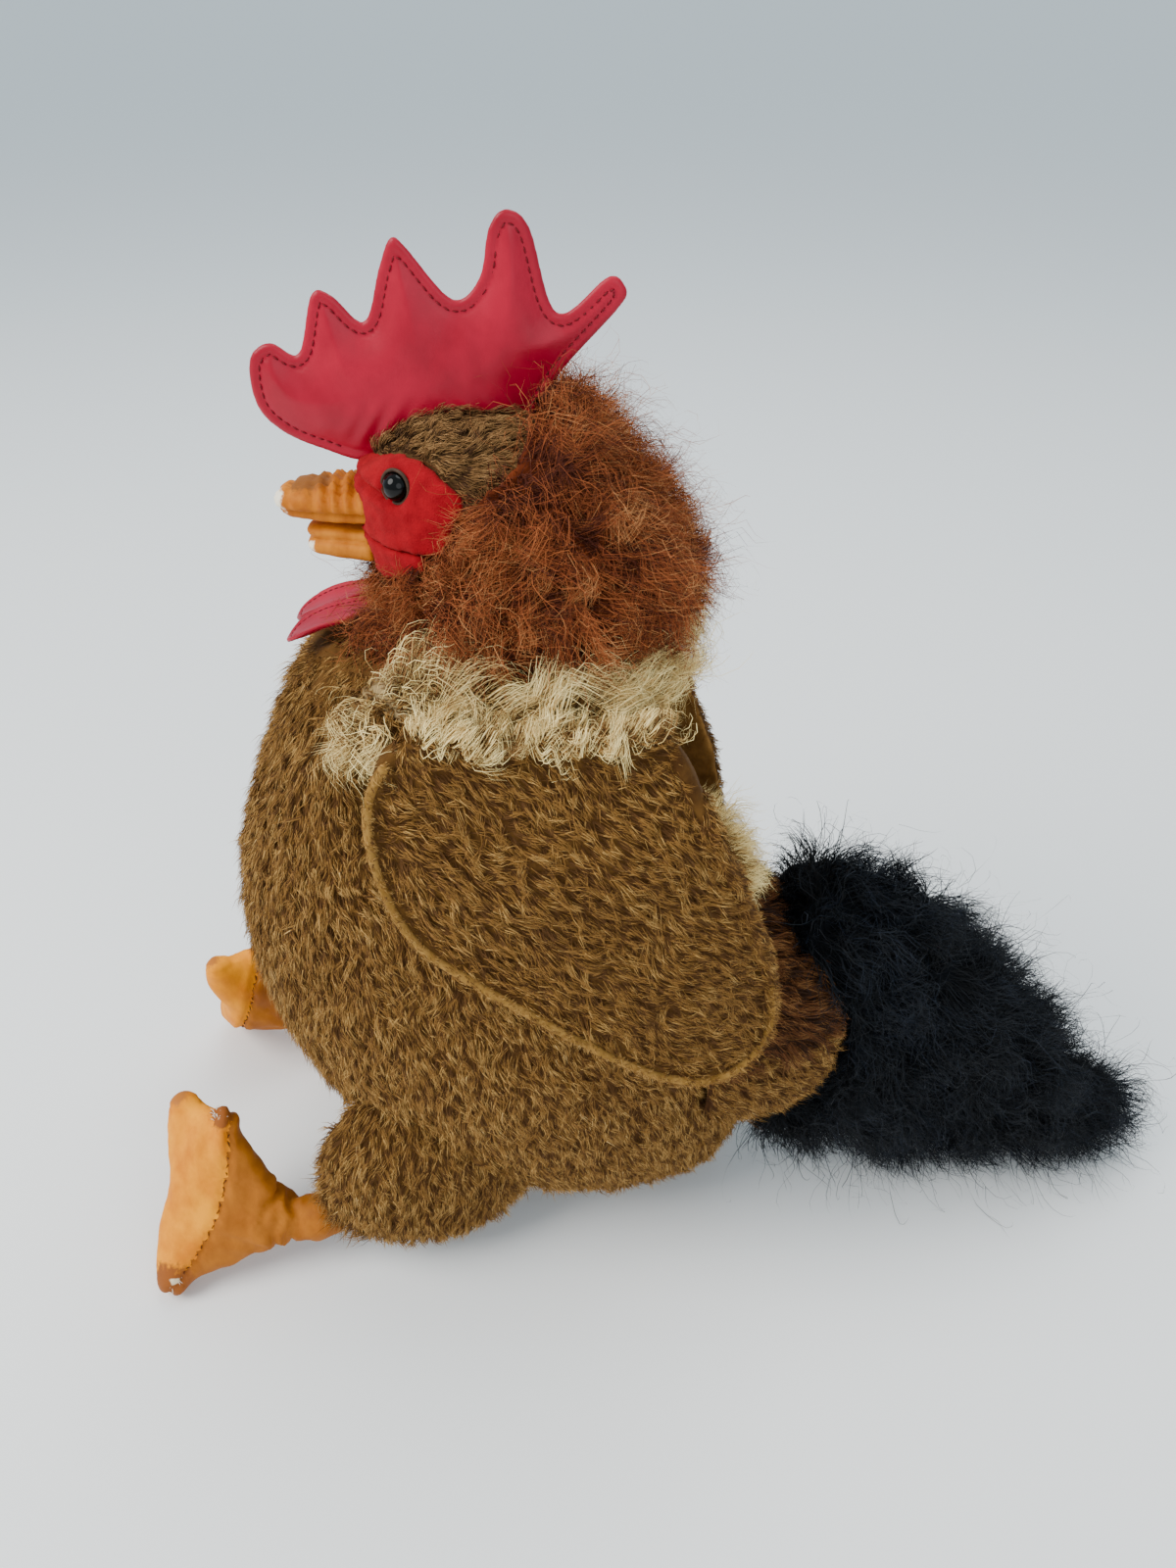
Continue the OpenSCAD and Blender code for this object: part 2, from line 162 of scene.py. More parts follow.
def cloth_material(
    name, dark, light, size, rough=0.9, sheen=0.2, sheen_tint=(255, 255, 255), grain=0.0006,
    bump=0.4, depth=0.0004, stretch=(1, 1, 1), spots=(), specular=0.4, rough_spread=0.0,
):
    """A cloth, felt, velour or vinyl: patchy colour, a fine grain, and spots as
    (centre, radius, colour): worn spots, and on the upper beak a patch of painted shade."""
    m, tree, shader = new_material(name, rough, sheen, sheen_tint, specular)
    coords = tree.nodes.new("ShaderNodeTexCoord").outputs["Object"]
    patch = ramp_node(tree, noise_node(tree, coords, size, 5.0, stretch), 0.34, 0.66)
    colour = mix_colour(tree, patch, linear(*dark), linear(*light))
    if spots:
        ragged = noise_node(tree, coords, 0.003, 3.0)
    for centre, radius, spot in spots:
        away = wired(tree, "VectorMath", "Value", {0: coords, 1: centre}, operation="DISTANCE")
        wobble = {0: ragged, 1: radius * 1.2, 2: away}
        away = wired(tree, "Math", 0, wobble, operation="MULTIPLY_ADD")
        near = ramp_node(tree, away, radius * 1.85, radius * 1.5)
        colour = mix_colour(tree, near, colour, linear(*spot))
    tree.links.new(colour, shader.inputs["Base Color"])
    if rough_spread:
        spread = {"To Min": rough - rough_spread, "To Max": rough + rough_spread, "Value": patch}
        tree.links.new(wired(tree, "MapRange", "Result", spread), shader.inputs["Roughness"])
    raised = {"Strength": bump, "Distance": depth, "Height": noise_node(tree, coords, grain, 2.0)}
    tree.links.new(wired(tree, "Bump", "Normal", raised), shader.inputs["Normal"])
    return m


def ground(kind, dark, light, size):
    """The woven backing that shows between strands, darker than their tips as painted shade deep
    in the pile.
    """
    return cloth_material(f"{kind}_ground", dark, light, size, sheen=0.0, specular=0.1)


# the dark backing under the brown pile: painted shade between the strands
PLUSH_BASE = cloth_material(
    "plush_ground", (66, 40, 14), (98, 66, 28), 0.012, sheen=0.0, grain=0.0012, bump=0.6,
    specular=0.1,
)
# the rolled wing edge, lighter than the pile: painted highlight
WING_EDGE_HIGHLIGHT = cloth_material(
    "wing_edge", (128, 92, 40), (160, 120, 62), 0.008, sheen=0.0, grain=0.0010, bump=0.8,
    specular=0.1,
)
# each strand set runs from root to tip: the dark root tones are painted shade deep in the pile,
# the light tips are the fibres' own colour
BODY_HAIR = [
    hair_material("body_root", (86, 54, 20)),
    hair_material("body_mid", (132, 92, 40)),
    hair_material("body_tip", (170, 130, 70)),
    hair_material("body_pale", (196, 160, 102)),
]
RUMP_BASE = ground("rump", (52, 28, 10), (84, 52, 24), 0.012)
RUMP_HAIR = [
    hair_material("rump_root", (50, 26, 8)),
    hair_material("rump_mid", (92, 52, 20)),
    hair_material("rump_tip", (130, 86, 44)),
]
CROWN_BASE = ground("crown", (66, 44, 22), (100, 74, 44), 0.01)
CROWN_HAIR = [
    hair_material("crown_root", (68, 42, 18)),
    hair_material("crown_mid", (114, 80, 42)),
    hair_material("crown_tip", (148, 110, 66)),
]
RUST_BASE = ground("rust", (62, 22, 8), (104, 44, 18), 0.014)
# rust_hollow is painted shade in the hollows between the curls
RUST_HAIR = [
    hair_material("rust_hollow", (66, 22, 4), sheen=0.05),
    hair_material("rust_mid", (122, 56, 18), specular=0.3),
    hair_material("rust_light", (150, 80, 36), specular=0.3),
    hair_material("rust_stray", (182, 122, 72), specular=0.3),
]
CREAM_BASE = ground("cream", (120, 96, 62), (166, 142, 100), 0.014)
# the brown cream_root tone is painted shadow inside the cream locks
CREAM_HAIR = [
    hair_material("cream_root", (112, 78, 38), sheen=0.2),
    hair_material("cream_mid", (206, 172, 106), sheen=0.2, specular=0.3),
    hair_material("cream_tip", (244, 218, 150), sheen=0.2, specular=0.3),
]
BLACK_BASE = ground("black", (3, 4, 6), (8, 11, 15), 0.02)
BLACK_HAIR = [
    hair_material("black_root", (3, 4, 6), sheen=0.0, specular=0.15, rough=0.6),
    hair_material("black_mid", (2, 7, 15), sheen=0.0, specular=0.22, rough=0.55),
    hair_material("black_tip", (8, 18, 32), sheen=0.05, specular=0.28, rough=0.5),
]
FELT = cloth_material(
    "red_felt", (128, 2, 16), (152, 5, 22), 0.006, rough=0.95, sheen=0.12,
    sheen_tint=(255, 110, 90), grain=0.0007, bump=0.7, depth=0.0005, specular=0.15,
)
MOUTH = cloth_material("mouth_lining", (70, 14, 14), (104, 24, 22), 0.006)
VINYL = cloth_material(
    "red_vinyl", (142, 0, 30), (168, 0, 40), 0.03, rough=0.40, sheen=0.0,
    grain=0.0009, bump=0.16, depth=0.0003, specular=0.26, rough_spread=0.06,
)
VINYL_THREAD = hair_material("vinyl_thread", (104, 4, 18), rough=0.6)
VELOUR_THREAD = hair_material("velour_thread", (92, 48, 14), rough=0.7)
FRAY = hair_material("worn_fray", (238, 226, 204), rough=0.9)
LINING = cloth_material(
    "wing_knit", (100, 66, 28), (134, 94, 46), 0.008, sheen=0.0, grain=0.0011, bump=0.8,
    specular=0.1,
)
SLEEVE = cloth_material(
    "sleeve_weave", (40, 30, 24), (62, 48, 38), 0.01, rough=0.6, grain=0.0008
)
WASHER = cloth_material(
    "washer_plastic", (200, 200, 198), (222, 222, 220), 0.004, rough=0.5, sheen=0.0
)
EYE_RIM = cloth_material(
    "eye_rim_plastic", (48, 33, 24), (70, 50, 36), 0.003, rough=0.5, sheen=0.0, specular=0.15,
    grain=0.0008, bump=0.1,
)


def velour(name, dark, light, spots):
    return cloth_material(
        name, dark, light, 0.012, rough=0.62, sheen=0.04, sheen_tint=(255, 180, 70),
        grain=0.0005, bump=0.3, depth=0.0003, stretch=(1, 1, 0.6), spots=spots,
        specular=0.12, rough_spread=0.08,
    )


# ---------- number work on meshes ----------


def unit(v):
    return v / np.maximum(np.linalg.norm(v, axis=-1, keepdims=True), 1e-9)


def lengths(v):
    return np.linalg.norm(v, axis=1)


def bell(x, width):
    """1 where x is 0, falling to 0 a few widths away."""
    return np.exp(-((x / width) ** 2))


def step_up(x, start, width):
    """0 up to the start, 1 from one width past it."""
    return np.clip((x - start) / width, 0, 1)


def beside_line(points, a, b):
    """How far along the line from a to b each point is, 0 to 1, and how far off it."""
    d = b - a
    t = np.clip((points - a) @ d / max(d @ d, 1e-18), 0, 1)
    return t, lengths(points - a - t[:, None] * d)


def nearest_tree(points, labels=None):
    tree = kdtree.KDTree(len(points))
    for i, p in enumerate(points):
        tree.insert(p, i if labels is None else int(labels[i]))
    tree.balance()
    return tree


def loop_pairs(count, closed=True):
    """Each point of a line with the next."""
    i = np.arange(count)
    pairs = np.stack([i, np.roll(i, -1)], axis=1)
    return pairs if closed else pairs[:-1]


class Lumps:
    """Smooth noise in space, about -0.7 to 0.7, the same on each run."""

    def __init__(self, seed):
        rng = np.random.default_rng(seed)
        self.order = rng.permutation(256)
        self.slope = unit(rng.normal(size=(256, 3)))

    def __call__(self, points, size, stretch=(1, 1, 1)):
        p = np.asarray(points) / size * np.array(stretch) + 37.3
        cell = np.floor(p).astype(int)
        f = p - cell
        fade = f * f * f * (f * (f * 6 - 15) + 10)
        total = np.zeros(len(p))
        for corner in ((x, y, z) for x in (0, 1) for y in (0, 1) for z in (0, 1)):
            c = (cell + corner) & 255
            pick = self.order[(self.order[c[:, 0]] + c[:, 1]) & 255]
            pick = self.order[(pick + c[:, 2]) & 255]
            share = np.prod(np.where(np.array(corner) == 1, fade, 1 - fade), axis=1)
            total += share * np.sum(self.slope[pick] * (f - np.array(corner)), axis=1)
        return total


LUMPS = Lumps(11)


def mesh_object(name, verts, tris, mats, slots=None, smooth=True):
    mesh = bpy.data.meshes.new(name)
    tris = np.asarray(tris, np.int32)
    mesh.vertices.add(len(verts))
    mesh.vertices.foreach_set("co", np.asarray(verts, np.float32).ravel())
    mesh.loops.add(tris.size)
    mesh.loops.foreach_set("vertex_index", tris.ravel())
    mesh.polygons.add(len(tris))
    mesh.polygons.foreach_set(
        "loop_start", np.arange(0, tris.size, tris.shape[1], dtype=np.int32)
    )
    for m in mats:
        mesh.materials.append(m)
    if slots is not None:
        mesh.polygons.foreach_set("material_index", np.asarray(slots, np.int32))
    mesh.polygons.foreach_set("use_smooth", np.full(len(tris), smooth))
    mesh.update(calc_edges=True)
    mesh.validate()
    obj = bpy.data.objects.new(name, mesh)
    SCENE.collection.objects.link(obj)
    return obj


def places(obj):
    co = np.empty(len(obj.data.vertices) * 3, np.float32)
    obj.data.vertices.foreach_get("co", co)
    return co.reshape(-1, 3).astype(float)


def normals(obj):
    no = np.empty(len(obj.data.vertices) * 3, np.float32)
    obj.data.vertex_normals.foreach_get("vector", no)
    return no.reshape(-1, 3).astype(float)


def move(obj, co):
    obj.data.vertices.foreach_set("co", np.asarray(co, np.float32).ravel())
    obj.data.update()


def push_out(obj, push):
    """Moves each point of a skin along its normal."""
    move(obj, places(obj) + normals(obj) * push[:, None])


def edge_pairs(obj):
    e = np.empty(len(obj.data.edges) * 2, np.int32)
    obj.data.edges.foreach_get("vertices", e)
    return e.reshape(-1, 2)


def relaxed(co, pairs, times, amount=0.5):
    n = len(co)
    a, b = pairs[:, 0], pairs[:, 1]
    count = np.bincount(a, minlength=n) + np.bincount(b, minlength=n)
    for _ in range(times):
        mean = np.empty_like(co)
        for k in range(3):
            mean[:, k] = np.bincount(a, co[b, k], n) + np.bincount(b, co[a, k], n)
        mean /= np.maximum(count, 1)[:, None]
        co = co + amount * (mean - co)
    return co


def remeshed(obj, voxel):
    """The object's mesh, remeshed as one closed skin, in place of the old one."""
    mod = obj.modifiers.new("remesh", "REMESH")
    mod.mode = "VOXEL"
    mod.voxel_size = voxel
    bake_modifiers(obj)


def bake_modifiers(obj):
    graph = bpy.context.evaluated_depsgraph_get()
    mesh = bpy.data.meshes.new_from_object(obj.evaluated_get(graph))
    obj.modifiers.clear()
    old = obj.data
    obj.data = mesh
    bpy.data.meshes.remove(old)
    mesh.polygons.foreach_set("use_smooth", np.ones(len(mesh.polygons), bool))


def from_nodes(name, nodes, voxel, smooth=4, mats=()):
    """One closed skin round the outside of these CAD nodes."""
    verts, faces, start = [], [], 0
    for n in nodes:
        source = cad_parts[n]
        source.data.calc_loop_triangles()
        tri = np.empty(len(source.data.loop_triangles) * 3, np.int32)
        source.data.loop_triangles.foreach_get("vertices", tri)
        verts.append(places(source))
        faces.append(tri.reshape(-1, 3) + start)
        start += len(verts[-1])
    obj = mesh_object(name, np.vstack(verts), np.vstack(faces), [])
    remeshed(obj, voxel)
    obj.data.materials.clear()
    for m in mats:
        obj.data.materials.append(m)
    move(obj, relaxed(places(obj), edge_pairs(obj), smooth))
    return obj


def recolour(node, material):
    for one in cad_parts[node].material_slots:
        one.material = material


def inset(obj, depth, lump=0.0, lump_size=0.01):
    """Moves a skin inwards, with soft lumps on it."""
    co = places(obj)
    push = -np.broadcast_to(np.asarray(depth, float), (len(co),)).copy()
    if lump:
        push += lump * 1.6 * LUMPS(co, lump_size)
        push += lump * 0.7 * LUMPS(co, lump_size * 0.45)
    push_out(obj, push)


def above_floor(obj, low=0.0):
    co = places(obj)
    co[:, 2] = np.maximum(co[:, 2], low)
    move(obj, co)


def paint_faces(obj, chooser):
    """chooser takes the faces' middles and normals, and gives their material numbers."""
    count = len(obj.data.polygons)
    mid, no = np.empty(count * 3, np.float32), np.empty(count * 3, np.float32)
    obj.data.polygons.foreach_get("center", mid)
    obj.data.polygons.foreach_get("normal", no)
    index = chooser(mid.reshape(-1, 3).astype(float), no.reshape(-1, 3).astype(float))
    obj.data.polygons.foreach_set("material_index", np.asarray(index, np.int32))


def finish_piece(obj, body, slot_name, stands_for=()):
    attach(obj, body)
    if stands_for:
        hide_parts(*stands_for)
    return obj


# ---------- strands of pile ----------


def scattered(obj, per_cm2, rng, keep=None):
    """Random roots all over a skin, with the skin's normal at each."""
    mesh = obj.data
    mesh.calc_loop_triangles()
    tri = np.empty(len(mesh.loop_triangles) * 3, np.int32)
    mesh.loop_triangles.foreach_get("vertices", tri)
    tri = tri.reshape(-1, 3)
    co, no = places(obj), normals(obj)
    a, b, c = co[tri[:, 0]], co[tri[:, 1]], co[tri[:, 2]]
    area = lengths(np.cross(b - a, c - a)) / 2
    count = int(area.sum() * 1e4 * per_cm2)
    pick = rng.choice(len(tri), count, p=area / area.sum())
    u, v = rng.random(count), rng.random(count)
    flip = u + v > 1
    u[flip], v[flip] = 1 - u[flip], 1 - v[flip]
    w = 1 - u - v
    share = np.stack([w, u, v], axis=1)[:, :, None]
    root = (co[tri[pick]] * share).sum(axis=1)
    out = unit((no[tri[pick]] * share).sum(axis=1))
    if keep is not None:
        ok = keep(root, out)
        root, out = root[ok], out[ok]
    return root, out


def nearest(points, seeds):
    tree = nearest_tree(seeds)
    return np.array([tree.find(p)[1] for p in points])


def ribbons(name, pts, out, width, tone, mats, cuts, twist):
    """Tapered strands through rows of points, coloured along their length, darker towards the root
    as painted shade.
    """
    n, rings = pts.shape[0], pts.shape[1] - 1
    way = unit(np.gradient(pts, axis=1))
    side = unit(np.cross(way, np.broadcast_to(out[:, None, :], way.shape)))
    turned = np.cross(way, side)
    c, s = np.cos(twist)[:, None, None], np.sin(twist)[:, None, None]
    side = side * c + turned * s
    t = np.linspace(0, 1, rings + 1)
    half = (width[:, None] * (1 - 0.75 * t[None, :rings] ** 1.5) / 2)[:, :, None]
    edge = side[:, :rings] * half
    verts = np.empty((n, 2 * rings + 1, 3))
    verts[:, 0 : 2 * rings : 2] = pts[:, :rings] + edge
    verts[:, 1 : 2 * rings : 2] = pts[:, :rings] - edge
    verts[:, 2 * rings] = pts[:, rings]
    verts[:, :, 2] = np.maximum(verts[:, :, 2], LOWEST_HAIR)
    local, level = [], []
    for j in range(rings - 1):
        local += [[2 * j, 2 * j + 1, 2 * j + 3], [2 * j, 2 * j + 3, 2 * j + 2]]
        level += [(j + 0.5) / rings] * 2
    local.append([2 * rings - 2, 2 * rings - 1, 2 * rings])
    level.append((rings - 0.4) / rings)
    tris = (np.arange(n)[:, None, None] * (2 * rings + 1) + np.array(local)[None]).reshape(-1, 3)
    shade = np.array(level)[None, :] + tone[:, None]
    slots = np.searchsorted(np.array(cuts), shade.ravel())
    return mesh_object(name, verts.reshape(-1, 3), tris, mats, np.minimum(slots, len(mats) - 1))


def fur(
    names, body, slot_name, skin, mats, cuts, lay, seed,
    per_cm2=40, clump=0.008, length=0.010, width=0.0008, rings=3, lift=0.5,
    curl=0.0008, turns=0.8, pull=0.5, droop=0.1, wave=0.5, wave_size=0.03,
    jitter=0.25, calm=0.5, pull_along=1.0, keep=None, split=None, trim=None, tone=0.25,
    spread=0.25, stray=0.0, patchy=1.2,
):
    """Pile on a skin. Strands lean towards the middle of their clump, so that dark gaps
    open between the tufts."""
    rng = np.random.default_rng(seed)
    root, out = scattered(skin, per_cm2, rng, keep)
    seeds, _ = scattered(skin, 1 / (clump * 100) ** 2, rng)
    own = nearest(root, seeds)
    count, tufts = len(root), len(seeds)
    flow = lay(root, out)
    flow = unit(flow - out * np.sum(flow * out, axis=1, keepdims=True))
    tuft_turn = rng.normal(size=tufts) * jitter
    turn = (
        wave * 2.2 * LUMPS(root, wave_size) + tuft_turn[own]
        + rng.normal(size=count) * jitter * calm
    )
    cross = np.cross(out, flow)
    flow = flow * np.cos(turn)[:, None] + cross * np.sin(turn)[:, None]
    cross = np.cross(out, flow)
    long = length * (
        1 + spread * rng.normal(size=tufts)[own] * 0.7 + spread * 0.5 * rng.normal(size=count)
    )
    long = np.clip(long, length * 0.45, length * 1.6)
    if trim is not None:
        long *= trim(root, out)
    wild = rng.random(count) < stray
    long[wild] *= 1.35
    t = np.linspace(0, 1, rings + 1)[None, :, None]
    rise = np.clip(lift * (1 + 0.35 * rng.normal(size=count)), 0.08, 0.95)[:, None, None]
    rise[wild] = np.clip(rise[wild] * 1.5, 0.1, 0.95)
    pts = root[:, None] + long[:, None, None] * (
        out[:, None] * rise * np.sin(t * 1.5) + flow[:, None] * np.sqrt(1 - rise**2) * t**1.2
    )
    phase = (rng.random(tufts)[own] * 2 * math.pi + 0.5 * rng.normal(size=count))[:, None, None]
    rate = (turns * (0.7 + 0.6 * rng.random(tufts)[own]))[:, None, None]
    angle = phase + 2 * math.pi * rate * t
    swing = curl * (0.6 + 0.8 * rng.random(tufts)[own])[:, None, None] * t**0.8
    pts += swing * (
        cross[:, None] * (np.sin(angle) - np.sin(phase))
        + out[:, None] * 0.7 * (np.cos(angle) - np.cos(phase))
    )
    gather = (seeds[own] - root) * pull
    gather -= out * np.sum(gather * out, axis=1, keepdims=True)
    lengthwise = flow * np.sum(gather * flow, axis=1, keepdims=True)
    gather += lengthwise * (pull_along - 1)
    gather[wild] = 0
    pts += gather[:, None] * t**1.3
    pts[:, :, 2] -= (droop * long)[:, None] * t[:, :, 0] ** 2
    shade = (
        tone * 0.5 * rng.normal(size=tufts)[own]
        + tone * 0.5 * rng.normal(size=count)
        + tone * patchy * LUMPS(root, 0.02)
    )
    wide = width * (0.75 + 0.5 * rng.random(count))
    wide[wild] *= 0.6
    twist = rng.normal(size=count) * 0.6
    part = np.zeros(count, int) if split is None else split(root)
    inside = np.all((pts > BOX_LOW) & (pts < BOX_HIGH), axis=(1, 2))
    for k, name in enumerate(names):
        mine = (part == k) & inside
        if mine.any():
            made = ribbons(
                name, pts[mine], out[mine], wide[mine], shade[mine], mats, cuts, twist[mine]
            )
            finish_piece(made, body, slot_name)


def four_ways(root):
    """Left front, left back, right front, right back."""
    return (root[:, 0] < 0) * 2 + (root[:, 1] > -0.08) * 1


def two_ways(root):
    return (root[:, 0] < 0) * 1


def flow_of(root, x, y, z):
    """One direction for each root, from numbers or from a number a root."""
    return np.stack([np.broadcast_to(np.asarray(k, float), len(root)) for k in (x, y, z)], axis=1)


def along(*way):
    return lambda root, out: flow_of(root, *way)


BODY_PILE = dict(
    clump=0.0034, length=0.0078, width=0.00046, rings=2, lift=0.36, curl=0.0007, turns=0.6,
    pull=0.92, pull_along=0.40, droop=0.04, wave=0.4, wave_size=0.022, jitter=0.42, calm=0.25,
    tone=0.26, spread=0.25, patchy=0.5,
)
LOCKS = dict(
    per_cm2=135, clump=0.0085, length=0.025, width=0.00038, rings=7, lift=0.36, curl=0.0060,
    turns=1.05, pull=1.0, pull_along=0.5, droop=0.02, wave=0.45, wave_size=0.024, jitter=0.32,
    calm=0.10, tone=0.46, stray=0.04,
)
CURLS = dict(
    width=0.00034, rings=5, lift=0.5, wave=1.0, jitter=0.8, calm=0.3, tone=0.34, stray=0.08,
)
BODY_CUTS, LOCK_CUTS, CURL_CUTS = (0.36, 0.86, 1.26), (0.26, 0.58), (0.38, 0.74, 1.12)


def body_pile(names, body, skin, lay, seed, cuts=BODY_CUTS, **more):
    """The short brown plush of the body, thighs and wings."""
    more = {**BODY_PILE, **more}
    fur(names, body, "brown_plush", skin, BODY_HAIR, cuts, lay, seed, **more)


def cream_locks(names, body, skin, lay, seed, cuts=LOCK_CUTS, **more):
    """The long cream locks of the collar and of the wings' upper seam."""
    fur(names, body, "cream_plush", skin, CREAM_HAIR, cuts, lay, seed, **{**LOCKS, **more})


def rust_curls(names, body, skin, lay, seed, cuts=CURL_CUTS, **more):
    """The long rust hair of the hackle, the throat and behind the cheek."""
    fur(names, body, "rust_fur", skin, RUST_HAIR, cuts, lay, seed, **{**CURLS, **more})


# ---------- outlines and seams ----------


def smooth_loop(points, per_side=8):
    """A smooth closed line through the points."""
    p = np.array(points, float)
    t = np.linspace(0, 1, per_side, endpoint=False)[:, None]
    out = []
    for i in range(len(p)):
        a, b, c, d = p[i - 1], p[i], p[(i + 1) % len(p)], p[(i + 2) % len(p)]
        out.append(
            0.5 * (2 * b + (c - a) * t + (2 * a - 5 * b + 4 * c - d) * t**2
                   + (3 * b - a - 3 * c + d) * t**3)
        )
    return np.vstack(out)


def inside_by(points, loop):
    """How far each flat point is inside the loop, below 0 outside."""
    a, b = loop, np.roll(loop, -1, axis=0)
    best = np.full(len(points), 1e9)
    crossed = np.zeros(len(points), int)
    for p, q in zip(a, b):
        best = np.minimum(best, beside_line(points, p, q)[1])
        spans = (p[1] > points[:, 1]) != (q[1] > points[:, 1])
        if p[1] != q[1]:
            x = p[0] + (points[:, 1] - p[1]) / (q[1] - p[1]) * (q[0] - p[0])
            crossed += spans & (points[:, 0] < x)
    return np.where(crossed % 2 == 1, best, -best)


def shrunk_loop(loop, depth):
    """The loop moved inwards, without the bits that fold over in tight corners."""
    before, after = np.roll(loop, 1, axis=0), np.roll(loop, -1, axis=0)
    way = unit(after - before)
    turn = np.sum(loop[:, 0] * after[:, 1] - after[:, 0] * loop[:, 1])
    inward = np.stack([-way[:, 1], way[:, 0]], axis=1) * (1 if turn > 0 else -1)
    moved = loop + inward * depth
    return moved[inside_by(moved, loop) > depth * 0.93]


def spaced(line, step, closed=True):
    """Points at even steps along a line."""
    p = np.vstack([line, line[:1]]) if closed else np.asarray(line)
    gap = lengths(np.diff(p, axis=0))
    far = np.concatenate([[0], np.cumsum(gap)])
    at = np.arange(0, far[-1], step)
    return np.stack([np.interp(at, far, p[:, k]) for k in range(p.shape[1])], axis=1)


def capped_rings(rings, sides, start=0):
    """Faces over rows of points round a tube, with a point after them for each end."""
    faces = []
    for j in range(rings - 1):
        for i in range(sides):
            a, b = start + j * sides + i, start + j * sides + (i + 1) % sides
            faces += [[a, b, b + sides], [a, b + sides, a + sides]]
    first, low = start + rings * sides, start + (rings - 1) * sides
    for i in range(sides):
        j = (i + 1) % sides
        faces += [[first, start + j, start + i], [first + 1, low + i, low + j]]
    return faces


def tubes(name, paths, radius, mats, sides=6):
    """Closed round tubes through short rows of points."""
    verts, faces, start = [], [], 0
    spin = np.linspace(0, 2 * math.pi, sides, endpoint=False)
    for path in paths:
        path = np.asarray(path, float)
        way = unit(np.gradient(path, axis=0))
        aid = np.array([0.3, 0.5, 0.81]) if abs(way[0][2]) < 0.8 else np.array([1.0, 0.1, 0])
        e1 = unit(np.cross(way, aid))
        e2 = np.cross(way, e1)
        rings = len(path)
        size = np.full(rings, radius)
        size[0] = size[-1] = radius * 0.6
        round_it = (
            e1[:, None] * np.cos(spin)[None, :, None] + e2[:, None] * np.sin(spin)[None, :, None]
        )
        ring = path[:, None] + size[:, None, None] * round_it
        verts.append(np.vstack([ring.reshape(-1, 3), path[:1], path[-1:]]))
        faces += capped_rings(rings, sides, start)
        start += rings * sides + 2
    return mesh_object(name, np.vstack(verts), faces, mats)


def slab(name, loop, thick, voxel, mats):
    """A flat plate of this outline in the YZ plane, with an even fine mesh."""
    n = len(loop)
    verts = np.zeros((2 * n, 3))
    verts[:, 1:] = np.vstack([loop, loop])
    verts[:n, 0], verts[n:, 0] = thick / 2, -thick / 2
    mesh = bpy.data.meshes.new(name)
    turn = np.sum(loop[:, 0] * np.roll(loop[:, 1], -1) - np.roll(loop[:, 0], -1) * loop[:, 1])
    order = list(range(n)) if turn > 0 else list(range(n - 1, -1, -1))
    pairs = [(order[i], order[(i + 1) % n]) for i in range(n)]
    sides = [(p, p + n, q + n, q) for p, q in pairs]
    ends = [tuple(order), tuple(k + n for k in reversed(order))]
    mesh.from_pydata(verts.tolist(), [], ends + sides)
    obj = bpy.data.objects.new(name, mesh)
    SCENE.collection.objects.link(obj)
    remeshed(obj, voxel)
    obj.data.materials.clear()
    for m in mats:
        obj.data.materials.append(m)
    return obj


def lathe(name, profile, place, mats, sides=64):
    """A round solid about the Z axis of place, from rows of (radius, height)."""
    spin = np.linspace(0, 2 * math.pi, sides, endpoint=False)
    rows = np.array([[[r * math.cos(a), r * math.sin(a), h] for a in spin] for r, h in profile])
    verts = np.vstack([rows.reshape(-1, 3), [[0, 0, profile[0][1]], [0, 0, profile[-1][1]]]])
    mat = np.array(place)
    verts = verts @ mat[:3, :3].T + mat[:3, 3]
    return mesh_object(name, verts, capped_rings(len(profile), sides), mats)


# ---------- torso ----------

HIPS = {"left": np.array([0.047, -0.121, 0.064]), "right": np.array([-0.053, -0.130, 0.064])}
SLEEVE_AT = np.array([0.0, -0.062])
NECK_Z = 0.344


def open_torso(root, out):
    """The torso's outside, without the sockets, the hand hole and the top."""
    ok = root[:, 2] < NECK_Z - 0.006
    for hip in HIPS.values():
        to_hip = hip - root
        in_socket = (lengths(to_hip) < 0.068) & (np.sum(to_hip * out, axis=1) > 0.004)
        ok &= ~in_socket
    flat = SLEEVE_AT - root[:, :2]
    in_sleeve = (lengths(flat) < 0.05) & (np.sum(flat * out[:, :2], axis=1) > 0.005)
    ok &= ~in_sleeve
    return ok & (out[:, 2] < 0.97) & (out[:, 2] > -0.93)


def torso_lay(root, out):
    """Down the body, a little to the back, and outwards from the middle of the belly."""
    return flow_of(root, 0.15 * np.sign(root[:, 0]), 0.45, -1.0)


def wing_depth(root):
    """How far inside the nearer wing's outline each place is, seen from the side."""
    left = inside_by(root[:, 1:], WING_LOOP)
    right = inside_by(root[:, 1:], WING_LOOP + RIGHT_WING_SHIFT)
    return np.where(root[:, 0] > 0, left, right)


def beside_wing(root):
    return step_up(np.abs(root[:, 0]), 0.045, 0.02)


def by_wing(root, out):
    """Short pile along the line where each wing lies on the body."""
    chest = step_up(root[:, 2], 0.29, 0.02) * (root[:, 1] < -0.1)
    near = step_up(wing_depth(root), -0.013, 0.007)
    return (1 + 0.3 * chest) * (1 - 0.62 * beside_wing(root) * near)


